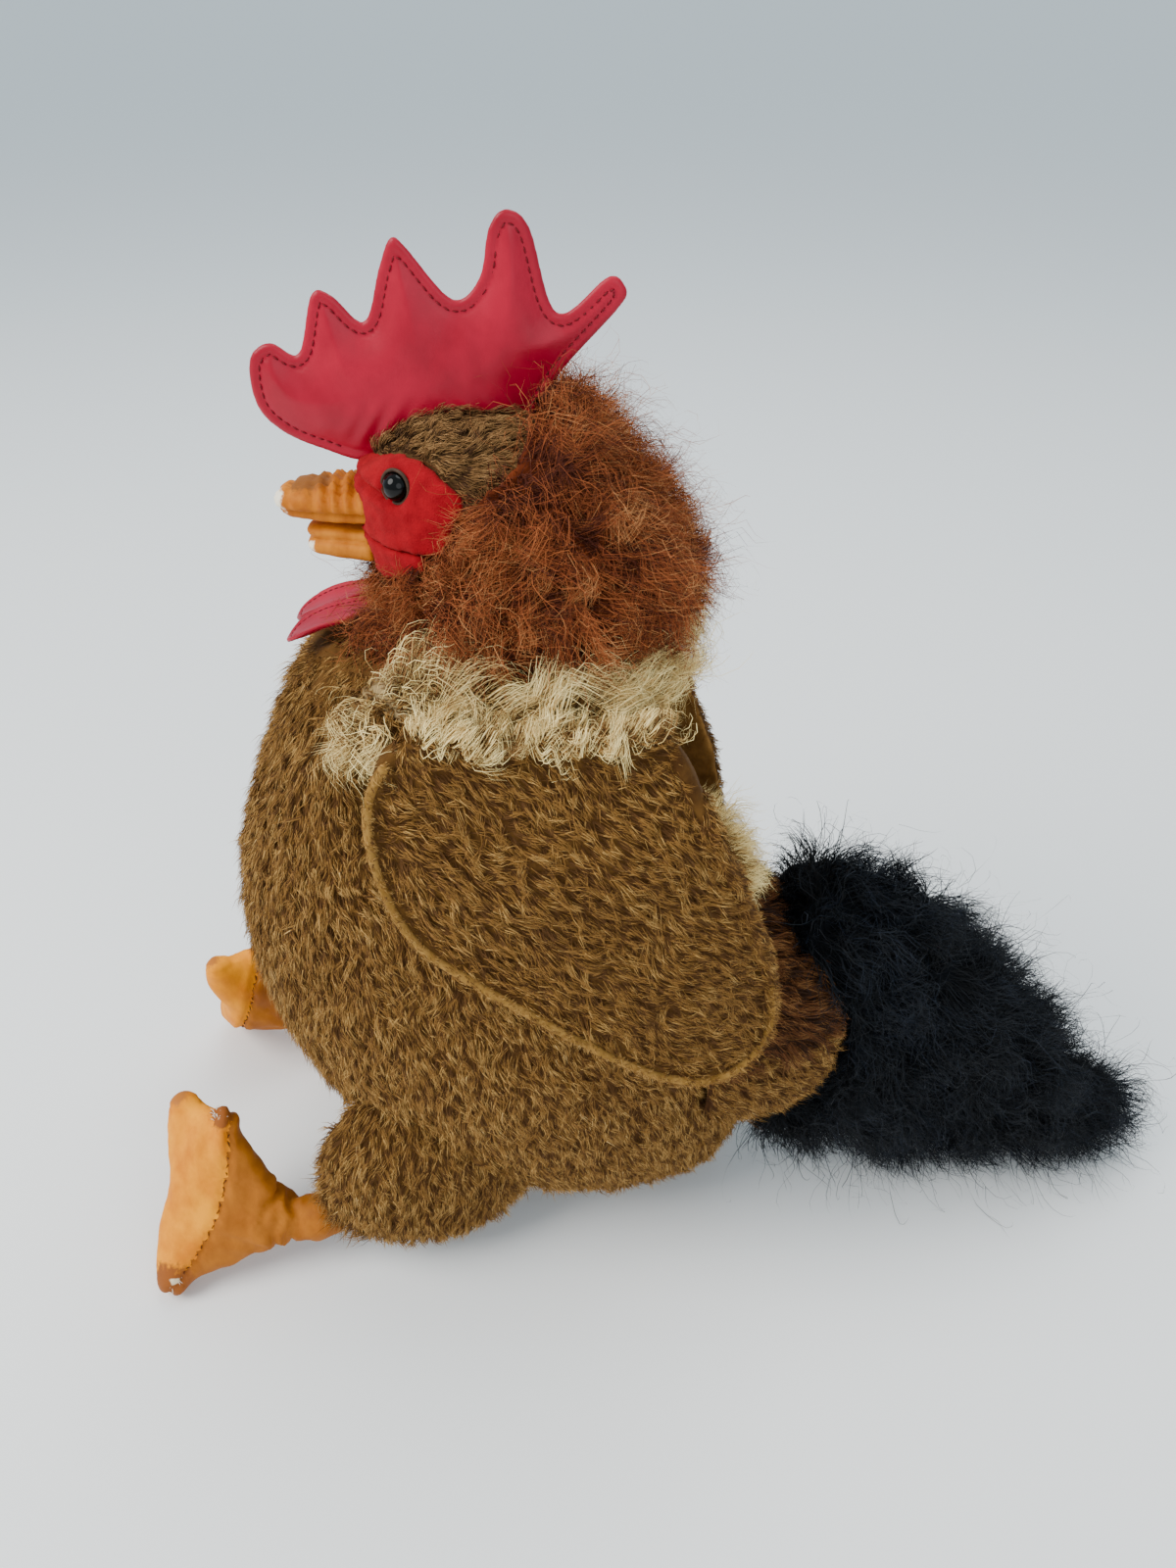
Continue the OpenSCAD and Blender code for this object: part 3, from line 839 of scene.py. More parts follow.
def make_torso():
    parts = ["torso_skin", "torso_filling"]
    skin = from_nodes("torso_plush", parts, 0.0036, 5, [PLUSH_BASE, SLEEVE])
    co = places(skin)
    chest = step_up(co[:, 2], 0.295, 0.02)
    # the nape is kept full, because the hand sleeve lies close under it
    nape = step_up(co[:, 2], 0.265, 0.02) * step_up(co[:, 1], -0.055, 0.02)
    inset(skin, 0.0045 - 0.0025 * chest - 0.0034 * nape, 0.0012, 0.010)
    co = places(skin)
    push_out(skin, -0.0036 * beside_wing(co) * bell(wing_depth(co) + 0.002, 0.0055))
    above_floor(skin)

    def in_hand_hole(mid, out):
        flat = mid[:, :2] - SLEEVE_AT
        return (lengths(flat) < 0.046) & (np.sum(flat * out[:, :2], axis=1) < -0.005)

    paint_faces(skin, in_hand_hole)
    finish_piece(skin, "torso", "brown_plush", parts)
    quarters = ("left_front", "left_back", "right_front", "right_back")
    body_pile([f"torso_pile_{q}" for q in quarters], "torso", skin, torso_lay, 21,
              per_cm2=85, keep=open_torso, split=four_ways, trim=by_wing)


CREAM_FROM = 0.331  # the height where the collar's cream starts
COLLAR_MIDDLE = np.array([0, -0.09, 0.315])


def make_collar():
    def front(r):
        """Below the wattles the collar is body plush, not cream."""
        across = np.abs(r[:, 0]) + 0.010 * LUMPS(r, 0.012)
        return (across < 0.052 + 0.9 * (-0.128 - r[:, 1])) & (r[:, 1] < -0.105)

    skin = from_nodes("collar_plush", ["neck_collar"], 0.003, 3, [CREAM_BASE, PLUSH_BASE])
    inset(skin, 0.0025, 0.0015, 0.012)
    paint_faces(skin, lambda mid, _: front(mid) | (mid[:, 2] < CREAM_FROM - 0.003))
    finish_piece(skin, "torso", "cream_plush", ["neck_collar"])

    def outside(root, out):
        return np.sum((root - COLLAR_MIDDLE) * out, axis=1) > 0

    def creamy(root, out):
        return outside(root, out) & ~front(root) & (root[:, 2] > CREAM_FROM)

    def plain(root, out):
        return outside(root, out) & (front(root) | (root[:, 2] < CREAM_FROM))

    def corners(root, out):
        """Each front corner, and the nape."""
        x, y, z = root.T
        behind = ((y > -0.132) & (y < -0.116)) | (y > -0.016)
        return outside(root, out) & ~front(root) & (z < CREAM_FROM) & (np.abs(x) > 0.02) & behind

    def lay(root, out):
        """Round the neck towards the back, each lock level or rising a little."""
        outwards = 6 * root[:, 0] * (root[:, 1] < -0.11)
        return flow_of(root, outwards, 1.0, -0.04 + 0.60 * step_up(root[:, 2], 0.326, 0.012))

    def trim(root, out):
        return 1 - 0.45 * step_up(-0.11, root[:, 1], 0.02)

    cream_locks(["collar_locks_left", "collar_locks_right"], "torso", skin, lay, 31,
                (0.30, 0.62), keep=creamy, trim=trim, split=two_ways)
    body_pile(["collar_front_pile"], "torso", skin, torso_lay, 33, per_cm2=90, keep=plain)
    # a few long locks hang down at the corners
    cream_locks(["collar_hanging_locks"], "torso", skin, along(0, 0.12, -1.0), 35,
                keep=corners, length=0.018, per_cm2=110, clump=0.007)


def make_rump():
    skin = from_nodes("rump_plush", ["rump_band"], 0.003, 4, [RUMP_BASE])
    inset(skin, 0.004, 0.001, 0.009)
    finish_piece(skin, "torso", "rust_plush", ["rump_band"])

    def above_edge(root):
        return root[:, 2] > 0.134 + 0.008 * LUMPS(root, 0.008)

    lay = along(0, 0.8, -0.6)
    fur(["rump_pile"], "torso", "rust_plush", skin, RUMP_HAIR, (0.42, 0.9), lay, 41,
        per_cm2=80, clump=0.006, length=0.011, width=0.0005, lift=0.40, curl=0.0012, pull=0.55,
        keep=lambda r, n: (n[:, 1] > -0.4) & above_edge(r))
    body_pile(["rump_low_pile"], "torso", skin, lay, 44, (0.42, 0.92, 1.3), per_cm2=88,
              keep=lambda r, n: (n[:, 1] > -0.4) & ~above_edge(r))
    tuft = from_nodes("tuft_plush", ["back_tuft"], 0.0022, 3, [CREAM_BASE])
    inset(tuft, 0.003)
    finish_piece(tuft, "torso", "cream_plush", ["back_tuft"])
    fur(["tuft_locks"], "torso", "cream_plush", tuft, CREAM_HAIR, (0.25, 0.55),
        along(0, 0.5, -0.3), 43, per_cm2=110, clump=0.008, length=0.016, width=0.00036, rings=5,
        lift=0.5, curl=0.003, turns=1.2, pull=0.7, jitter=0.5, tone=0.3)


# ---------- legs and feet ----------


ANKLES = {"left": np.array([0.067, -0.178, 0.029]), "right": np.array([-0.073, -0.187, 0.029])}
TOES = {
    "outer": np.array([0.085, -0.243, 0.012]),
    "middle": np.array([0.058, -0.219, 0.089]),
    "inner": np.array([0.046, -0.238, 0.088]),
}


def make_thigh(side, seed):
    hip, ankle = HIPS[side], ANKLES[side]
    outward = 1 if side == "left" else -1
    parts = [f"thigh_{side}_skin", f"thigh_{side}_filling"]
    body = f"leg_{side}"
    skin = from_nodes(f"thigh_{side}_plush", parts, 0.003, 5, [PLUSH_BASE])
    inset(skin, 0.0042, 0.0012, 0.010)
    above_floor(skin)
    finish_piece(skin, body, "brown_plush", parts)

    def shown(root, out):
        off = root - hip
        against_torso = (out[:, 0] * outward < -0.5) & (off[:, 1] > -0.035)
        buried = (off[:, 0] * outward < 0.0) & (off[:, 1] > 0.0)
        towards = np.sum((root - ankle) * out, axis=1)
        at_ankle = (lengths(root - ankle) < 0.018) & (towards < 0)
        return ~against_torso & ~buried & ~at_ankle & (out[:, 2] > -0.93)

    def at_cuff(root, out):
        return shown(root, out) & (lengths(root - ankle) < 0.031)

    body_pile([f"thigh_{side}_pile"], body, skin, along(0, -0.15, -1), seed, per_cm2=88,
              keep=shown)
    body_pile([f"thigh_{side}_cuff"], body, skin, along(*(ankle - hip)), seed + 3,
              (0.5, 1.0, 1.4), per_cm2=85, keep=at_cuff, length=0.0125, lift=0.45, rings=3)


def on_side(point, side):
    """A left-side point, or the same point on the right leg."""
    p = np.array(point, float)
    return p if side == "left" else np.array([-(p[0] + 0.006), p[1] - 0.009, p[2]])


def swollen(obj, pressure, limit, frames=20):
    """The piece blown up a little as cloth, so that it is drum-tight between its seams."""
    start = places(obj)
    cloth = obj.modifiers.new("cloth", "CLOTH")
    s = cloth.settings
    s.quality = 4
    s.mass = 0.15
    s.tension_stiffness = s.compression_stiffness = 25
    s.shear_stiffness = 12
    s.bending_stiffness = 0.6
    s.use_pressure = True
    s.uniform_pressure_force = pressure
    s.effector_weights.gravity = 0
    cloth.collision_settings.use_collision = False
    cloth.point_cache.frame_start = 1
    cloth.point_cache.frame_end = frames
    for f in range(1, frames + 1):
        SCENE.frame_set(f)
    bpy.context.view_layer.update()
    bake_modifiers(obj)
    moved = places(obj) - start
    far = lengths(moved)
    move(obj, start + moved * np.minimum(1, limit / np.maximum(far, 1e-9))[:, None])
    SCENE.frame_set(1)


def section(obj, d, normal):
    """Where d is 0 on the skin, as a closed line round its middle, seen along the normal."""
    co, pairs = places(obj), edge_pairs(obj)
    a, b = pairs[:, 0], pairs[:, 1]
    hit = d[a] * d[b] < 0
    a, b = a[hit], b[hit]
    t = (d[a] / (d[a] - d[b]))[:, None]
    cut = co[a] + (co[b] - co[a]) * t
    e1 = unit(np.cross(normal, [0.31, 0.2, 0.93]))
    e2 = np.cross(normal, e1)
    mid = cut.mean(axis=0)
    turn = np.arctan2((cut - mid) @ e2, (cut - mid) @ e1)
    return cut[np.argsort(turn)]


FORWARD = np.array([0.0, -0.006, 0.001])
TOE_MOVES = [
    # place, move, reach: the outer toe, the hollow beside the inner one, and the heel
    (TOES["outer"], (0.005, -0.004, -0.003), 0.034),
    ((0.056, -0.256, 0.050), (0.004, 0.008, 0.0), 0.019),
    ((0.080, -0.212, 0.018), (0.005, 0.0, -0.003), 0.026),
]


def place_toes(obj, side, s):
    """Stretches the toes away from the ankle, and hollows the foot between them."""
    co = places(obj)
    reach = step_up(ANKLES[side][1] - 0.022, co[:, 1], 0.035)
    co += FORWARD * reach[:, None]
    for place, (x, y, z), size in TOE_MOVES:
        near = bell(lengths(co - on_side(place, side)), size)
        co += np.array([x * s, y, z]) * near[:, None]
    move(obj, co)


SEAM_LEAN, SEAM_TURN = math.radians(-27), math.radians(14)
SEAM_BOW = 0.008  # how far the seam bows back halfway between the toes
RUBBED, WORN_THROUGH = (142, 78, 30), (228, 206, 168)
WORN_SPOTS = [
    # toe, place from the toe's tip, radius, colour
    ("outer", (0.004, 0.002, 0.004), 0.0095, RUBBED),
    ("middle", (0.001, 0.003, 0.0085), 0.0072, RUBBED),
    ("inner", (0.0, -0.004, 0.0085), 0.0060, (176, 104, 40)),
    ("outer", (0.0062, 0.0040, 0.0066), 0.0022, WORN_THROUGH),
    ("outer", (0.0052, 0.0010, 0.0020), 0.0020, WORN_THROUGH),
    ("middle", (-0.0005, 0.0020, 0.0115), 0.0024, WORN_THROUGH),
    ("middle", (0.0050, 0.0028, 0.0092), 0.0020, WORN_THROUGH),
]


def make_foot(side):
    parts = [f"foot_{side}_upper", f"foot_{side}_sole", f"foot_{side}_filling"]
    s = 1 if side == "left" else -1
    outer, middle, inner = (on_side(TOES[t], side) for t in ("outer", "middle", "inner"))
    outer, middle, inner = outer + (0.005 * s, -0.010, -0.002), middle + FORWARD, inner + FORWARD
    toes = {"outer": outer, "middle": middle, "inner": inner}
    worn = [
        (tuple(toes[toe] + np.array(off) * (s, 1, 1)), radius, colour)
        for toe, off, radius, colour in WORN_SPOTS
    ]
    # a darker and a lighter copy of one velour for the two sides of the seam: painted shade and
    # painted light
    panel = velour(f"velour_upper_{side}", (146, 80, 16), (176, 104, 30), worn)
    under = velour(f"velour_painted_light_{side}", (214, 120, 2), (246, 156, 12), worn)
    skin = from_nodes(f"foot_{side}_velour", parts, 0.0022, 6, [panel, under])
    inset(skin, 0.0012)
    swollen(skin, 3.0, 0.004)
    place_toes(skin, side, s)
    tilt = Matrix.Rotation(SEAM_TURN, 3, "Z") @ Matrix.Rotation(SEAM_LEAN, 3, "X")
    normal = np.array(tilt @ Vector((0, 1, 0))) * (s, 1, 1)
    co = places(skin)
    ankle = ANKLES[side]

    def ahead(place):
        """How far a place is in front of the seam, which bows back between the toes."""
        t, _ = beside_line(place, outer, middle)
        return (place - outer) @ normal - 4 * SEAM_BOW * t * (1 - t)

    d = ahead(co)
    push = -0.0018 * bell(d, 0.0013) + 0.0006 * bell(np.abs(d) - 0.0036, 0.0018)
    # crease rings where the cloth is gathered into the ankle, and soft creases towards the toes
    away = lengths(co - ankle)
    ring = bell(away - 0.024, 0.014)
    push += ring * 0.0016 * np.sin(away / 0.0017 + 6 * LUMPS(co, 0.012))
    neck = bell(away - 0.040, 0.016)
    push += neck * 0.0004 * np.sin((co[:, 2] + 0.8 * co[:, 1]) / 0.0022 + 5 * LUMPS(co, 0.014))
    push += 0.0009 * LUMPS(co, 0.014) + 0.0004 * LUMPS(co, 0.005)
    # the toe tips end in small knobs
    push += 0.0030 * bell(lengths(co - middle - (0.001 * s, 0.004, 0.007)), 0.0058)
    push += 0.0026 * bell(lengths(co - outer - (0.003 * s, 0.003, 0.003)), 0.0080)
    # the valley between the inner and middle toes, and the seam that caps the inner one
    high, deep = middle + (0.002 * s, -0.0020, 0.0065), middle + (0.0113 * s, -0.0043, -0.0116)
    t, off = beside_line(co, high, deep)
    push -= 0.0044 * (1 - 0.75 * t) * bell(off, 0.0036)
    push -= 0.0009 * bell(lengths(co - inner - (0, 0, 0.010)) - 0.0115, 0.0009)
    push_out(skin, push)
    above_floor(skin, 0.0003)
    # faces behind the seam take the lighter copy as painted light, the rest the darker copy as
    # painted shade
    paint_faces(skin, lambda mid, _: ahead(mid) < 0)
    body = f"foot_{side}"
    finish_piece(skin, body, "gold_velour", parts)
    line = section(skin, ahead(places(skin)), normal)
    foot_stitches(body, relaxed(line, loop_pairs(len(line)), 12), normal)
    centres = [spot for spot, _, colour in worn if colour == WORN_THROUGH]
    foot_fray(body, co, centres, (outer + middle) / 2, 71 if side == "left" else 72)


def foot_stitches(body, line, normal):
    """The topstitching to and fro across the seam."""
    marks = spaced(line, 0.0042)
    seam_middle = line.mean(axis=0)
    paths = []
    for k, m in enumerate(marks):
        nxt = marks[(k + 1) % len(marks)]
        way = unit(nxt - m)
        out = unit(m - seam_middle)
        across = normal * 0.0006 * (1 if k % 2 else -1)
        a, b = m - across, m + way * 0.0026 + across
        paths.append([a + out * 0.0002, (a + b) / 2 + out * 0.0007, b + out * 0.0002])
    stitches = tubes(f"{body}_stitches", paths, 0.00034, [VELOUR_THREAD], 5)
    finish_piece(stitches, body, "gold_velour")


def foot_fray(body, co, centres, between, seed):
    """Frayed threads where the toe tips are worn through."""
    rng = np.random.default_rng(seed)
    threads = []
    for centre in np.repeat(centres, 9, axis=0):
        way = unit(rng.normal(size=3))
        near = co[np.argmin(lengths(co - centre - way * 0.003))]
        stick = unit(near - between + 0.01 * rng.normal(size=3))
        bend, end = stick * 0.0012 + way * 0.0008, stick * 0.0018 + way * 0.0020
        threads.append([near, near + bend, near + end])
    fray = tubes(f"{body}_fray", threads, 0.00018, [FRAY], 4)
    above_floor(fray, 0.0002)
    finish_piece(fray, body, "gold_velour")


# ---------- wings ----------

WING_OUTLINE = np.array([
    (-102, 334), (-116, 324), (-123, 311), (-125, 296), (-120, 268), (-107, 243), (-66, 211),
    (-17, 170), (4, 158), (22, 156), (36, 166), (40, 182), (38, 200), (33, 222), (15, 273),
    (1, 305), (-7, 322), (-16, 334),
]) * MM
WING_LOOP = smooth_loop(WING_OUTLINE, 6)
RIGHT_WING_SHIFT = np.array([-0.010, 0])


def make_wing(side, seed):
    outward = 1 if side == "left" else -1
    body = f"wing_{side}"
    parts = [f"{body}_cover", f"{body}_lining"]
    skin = from_nodes(f"{body}_plush", parts, 0.0019, 4, [PLUSH_BASE, LINING])
    loop = WING_LOOP if side == "left" else WING_LOOP + RIGHT_WING_SHIFT
    co, no = places(skin), normals(skin)
    deep = inside_by(co[:, 1:], loop)
    face = no[:, 0] * outward
    # the face is sunk behind the rolled edge, which stands up round it
    sunk = 0.0004 - 0.0034 * step_up(deep, 0.0035, 0.0025)
    push = np.where(face > 0.1, sunk, np.where(face < -0.4, -0.0004, 0.0))
    push -= np.where(face > 0, 0.0008 * bell(deep - 0.0050, 0.0012), 0)
    push += 0.0022 * LUMPS(co, 0.045) + 0.0012 * LUMPS(co, 0.010)
    push_out(skin, push)
    paint_faces(skin, lambda mid, n: n[:, 0] * outward < -0.35)
    finish_piece(skin, body, "brown_plush", parts)

    def shown(root, out):
        d = inside_by(root[:, 1:], loop)
        past_bead = (d > 0.0044) | (root[:, 2] > 0.327) | (root[:, 1] > 0)
        return (out[:, 0] * outward > -0.3) & past_bead

    def trim(root, out):
        return 0.6 + 0.4 * step_up(inside_by(root[:, 1:], loop), 0.004, 0.008)

    # the higher cuts colour the wing's pile darker than the body's: painted shade
    body_pile([f"{body}_pile"], body, skin, along(0.0, 0.85, -0.6), seed, (0.44, 0.98, 1.40),
              per_cm2=95, keep=shown, trim=trim)
    make_bead(body, skin, loop, outward, seed + 5)
    # the collar's locks hang over the seam along the top of the wing
    cream_locks([f"{body}_top_locks"], body, skin, along(0.0, 1.0, -0.1), seed + 7,
                keep=lambda r, n: r[:, 2] > 0.3316, length=0.009, clump=0.006)


def make_bead(body, skin, loop, outward, seed):
    """The wing's edge, rolled over and sewn down as a smooth bead, painted lighter as a highlight.
    """
    co, no = places(skin), normals(skin)
    face = np.where(no[:, 0] * outward > 0.25)[0]
    tree = nearest_tree([(0, co[i, 1], co[i, 2]) for i in face], face)
    row = []
    for y, z in spaced(shrunk_loop(loop, 0.0022), 0.0022):
        if z < 0.326 and not (y > -0.05 and z > 0.205):
            near = [i for _, i, _ in tree.find_n((0, y, z), 6)]
            row.append((co[near, 0].mean() + outward * 0.0005, y, z))
    row = relaxed(np.array(row), loop_pairs(len(row), closed=False), 2)
    bead = tubes(f"{body}_bead", [row], 0.0018, [WING_EDGE_HIGHLIGHT], 12)
    co = places(bead)
    push_out(bead, 0.0004 * LUMPS(co, 0.006) + 0.0003 * LUMPS(co, 0.0025))
    finish_piece(bead, body, "brown_plush")
    # the bead's nap takes lighter tones than the body's pile: painted highlight
    body_pile([f"{body}_bead_nap"], body, bead, along(0.0, 0.75, -0.85), seed,
              (0.20, 0.74, 1.20), per_cm2=110, keep=lambda r, n: n[:, 0] * outward > -0.5,
              length=0.0022, lift=0.30, clump=0.003, width=0.00030)


# ---------- head ----------

# the place of the left eye and of its mirror image
EYES = {"left": np.array([0.0286, -0.111, 0.403]), "right": np.array([-0.0286, -0.111, 0.403])}
EYE_RADIUS = 5.4 * MM
FELT_OUTLINE = np.array([
    (-142, 381.5), (-142, 394), (-130, 402), (-120, 408), (-110, 412), (-100, 410), (-91, 404),
    (-87, 398), (-91, 390), (-95, 381.5),
]) * MM
FELT_LOOP = smooth_loop(FELT_OUTLINE, 6)


def make_head():
    parts = ["head_filling", "crown_skin"]
    skin = from_nodes("head_plush", parts, 0.0026, 3, [CROWN_BASE, MOUTH])
    co = places(skin)
    inset(skin, np.where((co[:, 2] > 0.39) & (co[:, 1] > -0.128), 0.0028, 0.0008), 0.0006, 0.008)
    paint_faces(skin, lambda mid, n: (n[:, 2] < -0.5) & (mid[:, 1] < -0.08))
    finish_piece(skin, "head", "crown_plush", parts)

    def on_crown(root, out):
        y, z = root[:, 1], root[:, 2]
        ok = (z > 0.383) & (y < -0.052) & (out[:, 2] > -0.35) & ((z > 0.398) | (y > -0.10))
        ok &= inside_by(root[:, 1:], FELT_LOOP) < -0.0002
        for eye in EYES.values():
            ok &= lengths(root - eye) > 0.011
        return ok

    def lay(root, out):
        """Back over the crown, and outwards on its sides."""
        return flow_of(root, 3 * root[:, 0], 1, 0.15)

    fur(["crown_pile"], "head", "crown_plush", skin, CROWN_HAIR, (0.4, 0.85), lay, 51,
        per_cm2=190, clump=0.0042, length=0.0072, width=0.00036, lift=0.36, curl=0.0007,
        wave=0.4, wave_size=0.02, jitter=0.3, keep=on_crown)

    def on_throat(root, out):
        below = (root[:, 2] < 0.371) & (root[:, 1] < -0.088)
        return below & (out[:, 2] < 0.75) & (out[:, 1] < 0.3)

    rust_curls(["throat_hair"], "head", skin, along(0, -0.85, -0.4), 53, per_cm2=105,
               clump=0.0085, length=0.019, curl=0.0044, turns=1.3, pull=0.85,
               wave_size=0.026, keep=on_throat)


def make_hackle():
    skin = from_nodes("hackle_plush", ["hackle"], 0.003, 5, [RUST_BASE])
    co = places(skin)
    top = step_up(co[:, 2], 0.385, 0.04) * step_up(co[:, 1], -0.075, 0.03)
    inset(skin, 0.0075 + 0.003 * top, 0.0028, 0.013)
    finish_piece(skin, "head", "rust_fur", ["hackle"])
    middle = np.array([0, -0.075, 0.385])

    def outside(root, out):
        ok = (np.sum((root - middle) * out, axis=1) > 0.004) & (root[:, 2] > 0.346)
        return ok & ~((root[:, 2] < 0.349) & (out[:, 2] < -0.8))

    def lay(root, out):
        off = root - np.array([0, -0.118, 0.400])
        off[:, 0] *= 0.25
        flow = unit(off) * 0.9
        flow[:, 1] += 0.05
        flow[:, 2] -= 0.65 * step_up(root[:, 2], 0.352, 0.02)
        flow[:, 1] -= 0.9 * step_up(-0.095, root[:, 1], 0.03)
        return flow

    def trim(root, out):
        face = step_up(-0.078, root[:, 1], 0.02) * step_up(root[:, 2], 0.372, 0.01)
        hem = step_up(0.362, root[:, 2], 0.014) * (root[:, 1] > -0.09)
        return (1 - 0.45 * face) * (1 - 0.45 * hem)

    rust_curls(["hackle_hair_left", "hackle_hair_right"], "head", skin, lay, 61,
               (0.34, 0.72, 1.12), per_cm2=105, clump=0.0088, length=0.019, lift=0.48,
               curl=0.0054, turns=1.3, pull=1.0, droop=0.12, wave_size=0.028, calm=0.22,
               keep=outside, split=two_ways, trim=trim, tone=0.44, stray=0.10, spread=0.3)
    fur(["hackle_strays"], "head", "rust_fur", skin, RUST_HAIR[2:], (0.9,), lay, 62,
        per_cm2=2.4, clump=0.004, length=0.030, width=0.00022, rings=8, lift=0.75, curl=0.006,
        turns=1.2, pull=0.0, wave=1.2, jitter=0.9, keep=outside, trim=trim, tone=0.3)


def raised_flat(points):
    """Flat points as points in space, at height 0."""
    return np.column_stack([points, np.zeros(len(points))])


def round_edge(obj, outline, loop, reach):
    """Moves the edge of a patch from its straight-sided outline out to the smooth loop."""
    co = places(obj)
    straight, smooth = spaced(outline, 0.0004), spaced(loop, 0.0004)
    at = straight[nearest(raised_flat(co[:, 1:]), raised_flat(straight))]
    goal = smooth[nearest(raised_flat(at), raised_flat(smooth))]
    share = bell(lengths(co[:, 1:] - at), reach)
    co[:, 1:] += (goal - at) * share[:, None]
    move(obj, co)


def make_eye(side, s):
    place = (
        Matrix.Translation(EYES[side])
        @ Matrix.Rotation(math.radians(-32 * s), 4, "Z")
        @ Matrix.Rotation(math.radians(84 * s), 4, "Y")
    )
    turns = np.linspace(0, math.pi / 2 - 0.02, 20)
    arc = [(EYE_RADIUS * math.cos(a), EYE_RADIUS * math.sin(a)) for a in turns]
    stem = [(2 * MM, -11 * MM), (2 * MM, 0), (5.3 * MM, 0.0)]
    black, _, shader = new_material(f"eye_glass_{side}", 0.06, specular=0.14)
    shader.inputs["Base Color"].default_value = linear(5, 4, 3)
    shader.inputs["Coat Weight"].default_value = 0.1
    shader.inputs["Coat Roughness"].default_value = 0.03
    eye = lathe(f"eye_{side}_dome", stem + arc, place, [black])
    finish_piece(eye, "head", "eye_black", [f"eye_{side}"])
    recolour(f"eye_rim_{side}", EYE_RIM)
    recolour(f"eye_washer_{side}", WASHER)


def make_face():
    for side, s in (("left", 1), ("right", -1)):
        patch = from_nodes(f"felt_{side}", [f"face_patch_{side}"], 0.0012, 2, [FELT])
        round_edge(patch, FELT_OUTLINE, FELT_LOOP, 0.004)
        co = places(patch)
        # the tuck that runs from the corner of the beak to the eye
        _, off = beside_line(co[:, 1:], np.array([-0.133, 0.4005]), np.array([-0.1165, 0.3990]))
        push = -0.0024 * bell(off, 0.0014) + 0.0010 * bell(off - 0.0032, 0.0018)
        push += 0.0004 + 0.0005 * LUMPS(co, 0.004) + 0.0008 * LUMPS(co, 0.012)
        push_out(patch, push)
        finish_piece(patch, "head", "red_felt", [f"face_patch_{side}"])
        make_eye(side, s)
    cheek = from_nodes("felt_cheek", ["cheek_patch"], 0.0013, 2, [FELT])
    co = places(cheek)
    push_out(cheek, 0.0003 + 0.0005 * LUMPS(co, 0.004) + 0.0008 * LUMPS(co, 0.012))
    finish_piece(cheek, "jaw", "red_felt", ["cheek_patch"])

    def behind(root, out):
        edge = (root[:, 1] > -0.1085) | (root[:, 2] < 0.3655 + 0.25 * (root[:, 1] + 0.125))
        return edge & (np.abs(out[:, 0]) + np.abs(out[:, 1]) > 0.3) & (root[:, 2] < 0.3765)

    rust_curls(["cheek_fringe"], "jaw", cheek, along(0, -0.4, -0.9), 57, per_cm2=110,
               clump=0.0075, length=0.0135, curl=0.0036, turns=1.2, pull=0.8, wave_size=0.02,
               keep=behind)


WORN_WHITE = (248, 234, 208)


def make_beak():
    gold = velour("velour_upper_beak", (164, 86, 12), (202, 120, 28), [
        # the darker patch over the top of the beak is painted shade; the white spots are worn
        # through
        ((0.0, -0.149, 0.3970), 0.0085, (132, 78, 30)),
        ((0.006, -0.1632, 0.3890), 0.0048, WORN_WHITE),
        ((0.008, -0.1610, 0.3850), 0.0028, WORN_WHITE),
    ])
    parts = ["upper_beak_skin", "upper_beak_filling"]
    top = from_nodes("upper_beak_velour", parts, 0.0012, 3, [gold])
    co, no = places(top), normals(top)
    y, z = co[:, 1], co[:, 2]
    half = np.maximum(np.abs(co[:, 0]), 1e-4)
    # the cap at the tip, the lip along each edge, and the folds gathered behind the cap
    beside = np.clip(np.abs(no[:, 0]) / 0.3, 0, 1)
    lip = 0.3856 + 0.03 * (y + 0.14)
    push = -0.0020 * bell(z - lip, 0.0010) * beside
    push += 0.0007 * bell(z - 0.3832, 0.0016) * beside
    push += 0.0010 * bell(z - 0.3895, 0.0030) * beside
    slanted = y + 0.35 * (z - 0.388) + 0.0016 * LUMPS(co, 0.012)
    gathered = np.exp(-(((y + 0.136) / 0.012) ** 4)) * step_up(z, 0.3870, 0.003)
    push += gathered * 0.0013 * np.sin(slanted / 0.00088)
    top_fold = bell(y + 0.139, 0.008) * step_up(z, 0.392, 0.003)
    push += top_fold * 0.0010 * np.sin(half / 0.0009 + 3 * LUMPS(co, 0.01))
    push -= 0.0014 * bell(y + 0.1565, 0.0012) * step_up(z, 0.3860, 0.003)
    push += 0.0009 * LUMPS(co, 0.011) + 0.0005 * LUMPS(co, 0.004)
    push_out(top, push)
    finish_piece(top, "head", "gold_velour", parts)
    gold_low = velour("velour_lower_beak", (170, 92, 14), (208, 128, 34), [
        ((0.008, -0.1525, 0.3710), 0.0030, WORN_WHITE),
    ])
    parts = ["lower_beak_skin", "lower_beak_filling"]
    low = from_nodes("lower_beak_velour", parts, 0.0012, 3, [gold_low])
    co = places(low)
    y, z = co[:, 1], co[:, 2]
    line = 0.3738 + 0.0012 * np.sin(y / 0.012)
    push = -0.0024 * bell(z - line, 0.0011) + 0.0009 * LUMPS(co, 0.009)
    push += 0.0007 * bell(z - 0.3765, 0.0016) + 0.0007 * bell(z - 0.3690, 0.003)
    push_out(low, push)
    finish_piece(low, "jaw", "gold_velour", parts)


# ---------- comb and wattles ----------

COMB_OUTLINE = np.array([
    (-74, 404), (-60, 424), (-50, 438), (-30, 459), (-29, 465), (-35, 468), (-53, 456), (-62, 484),
    (-70, 490), (-76, 484), (-80, 468), (-90, 461), (-105, 478), (-110, 481), (-115, 471),
    (-122, 453), (-133, 462), (-140, 462), (-147, 442), (-157, 446), (-165, 440), (-165, 424),
    (-157, 414), (-142, 407), (-122, 402),
]) * MM


COMB_SEAM = 0.0038  # how far inside the outline the stitches run
WATTLE_SEAM = 0.0022


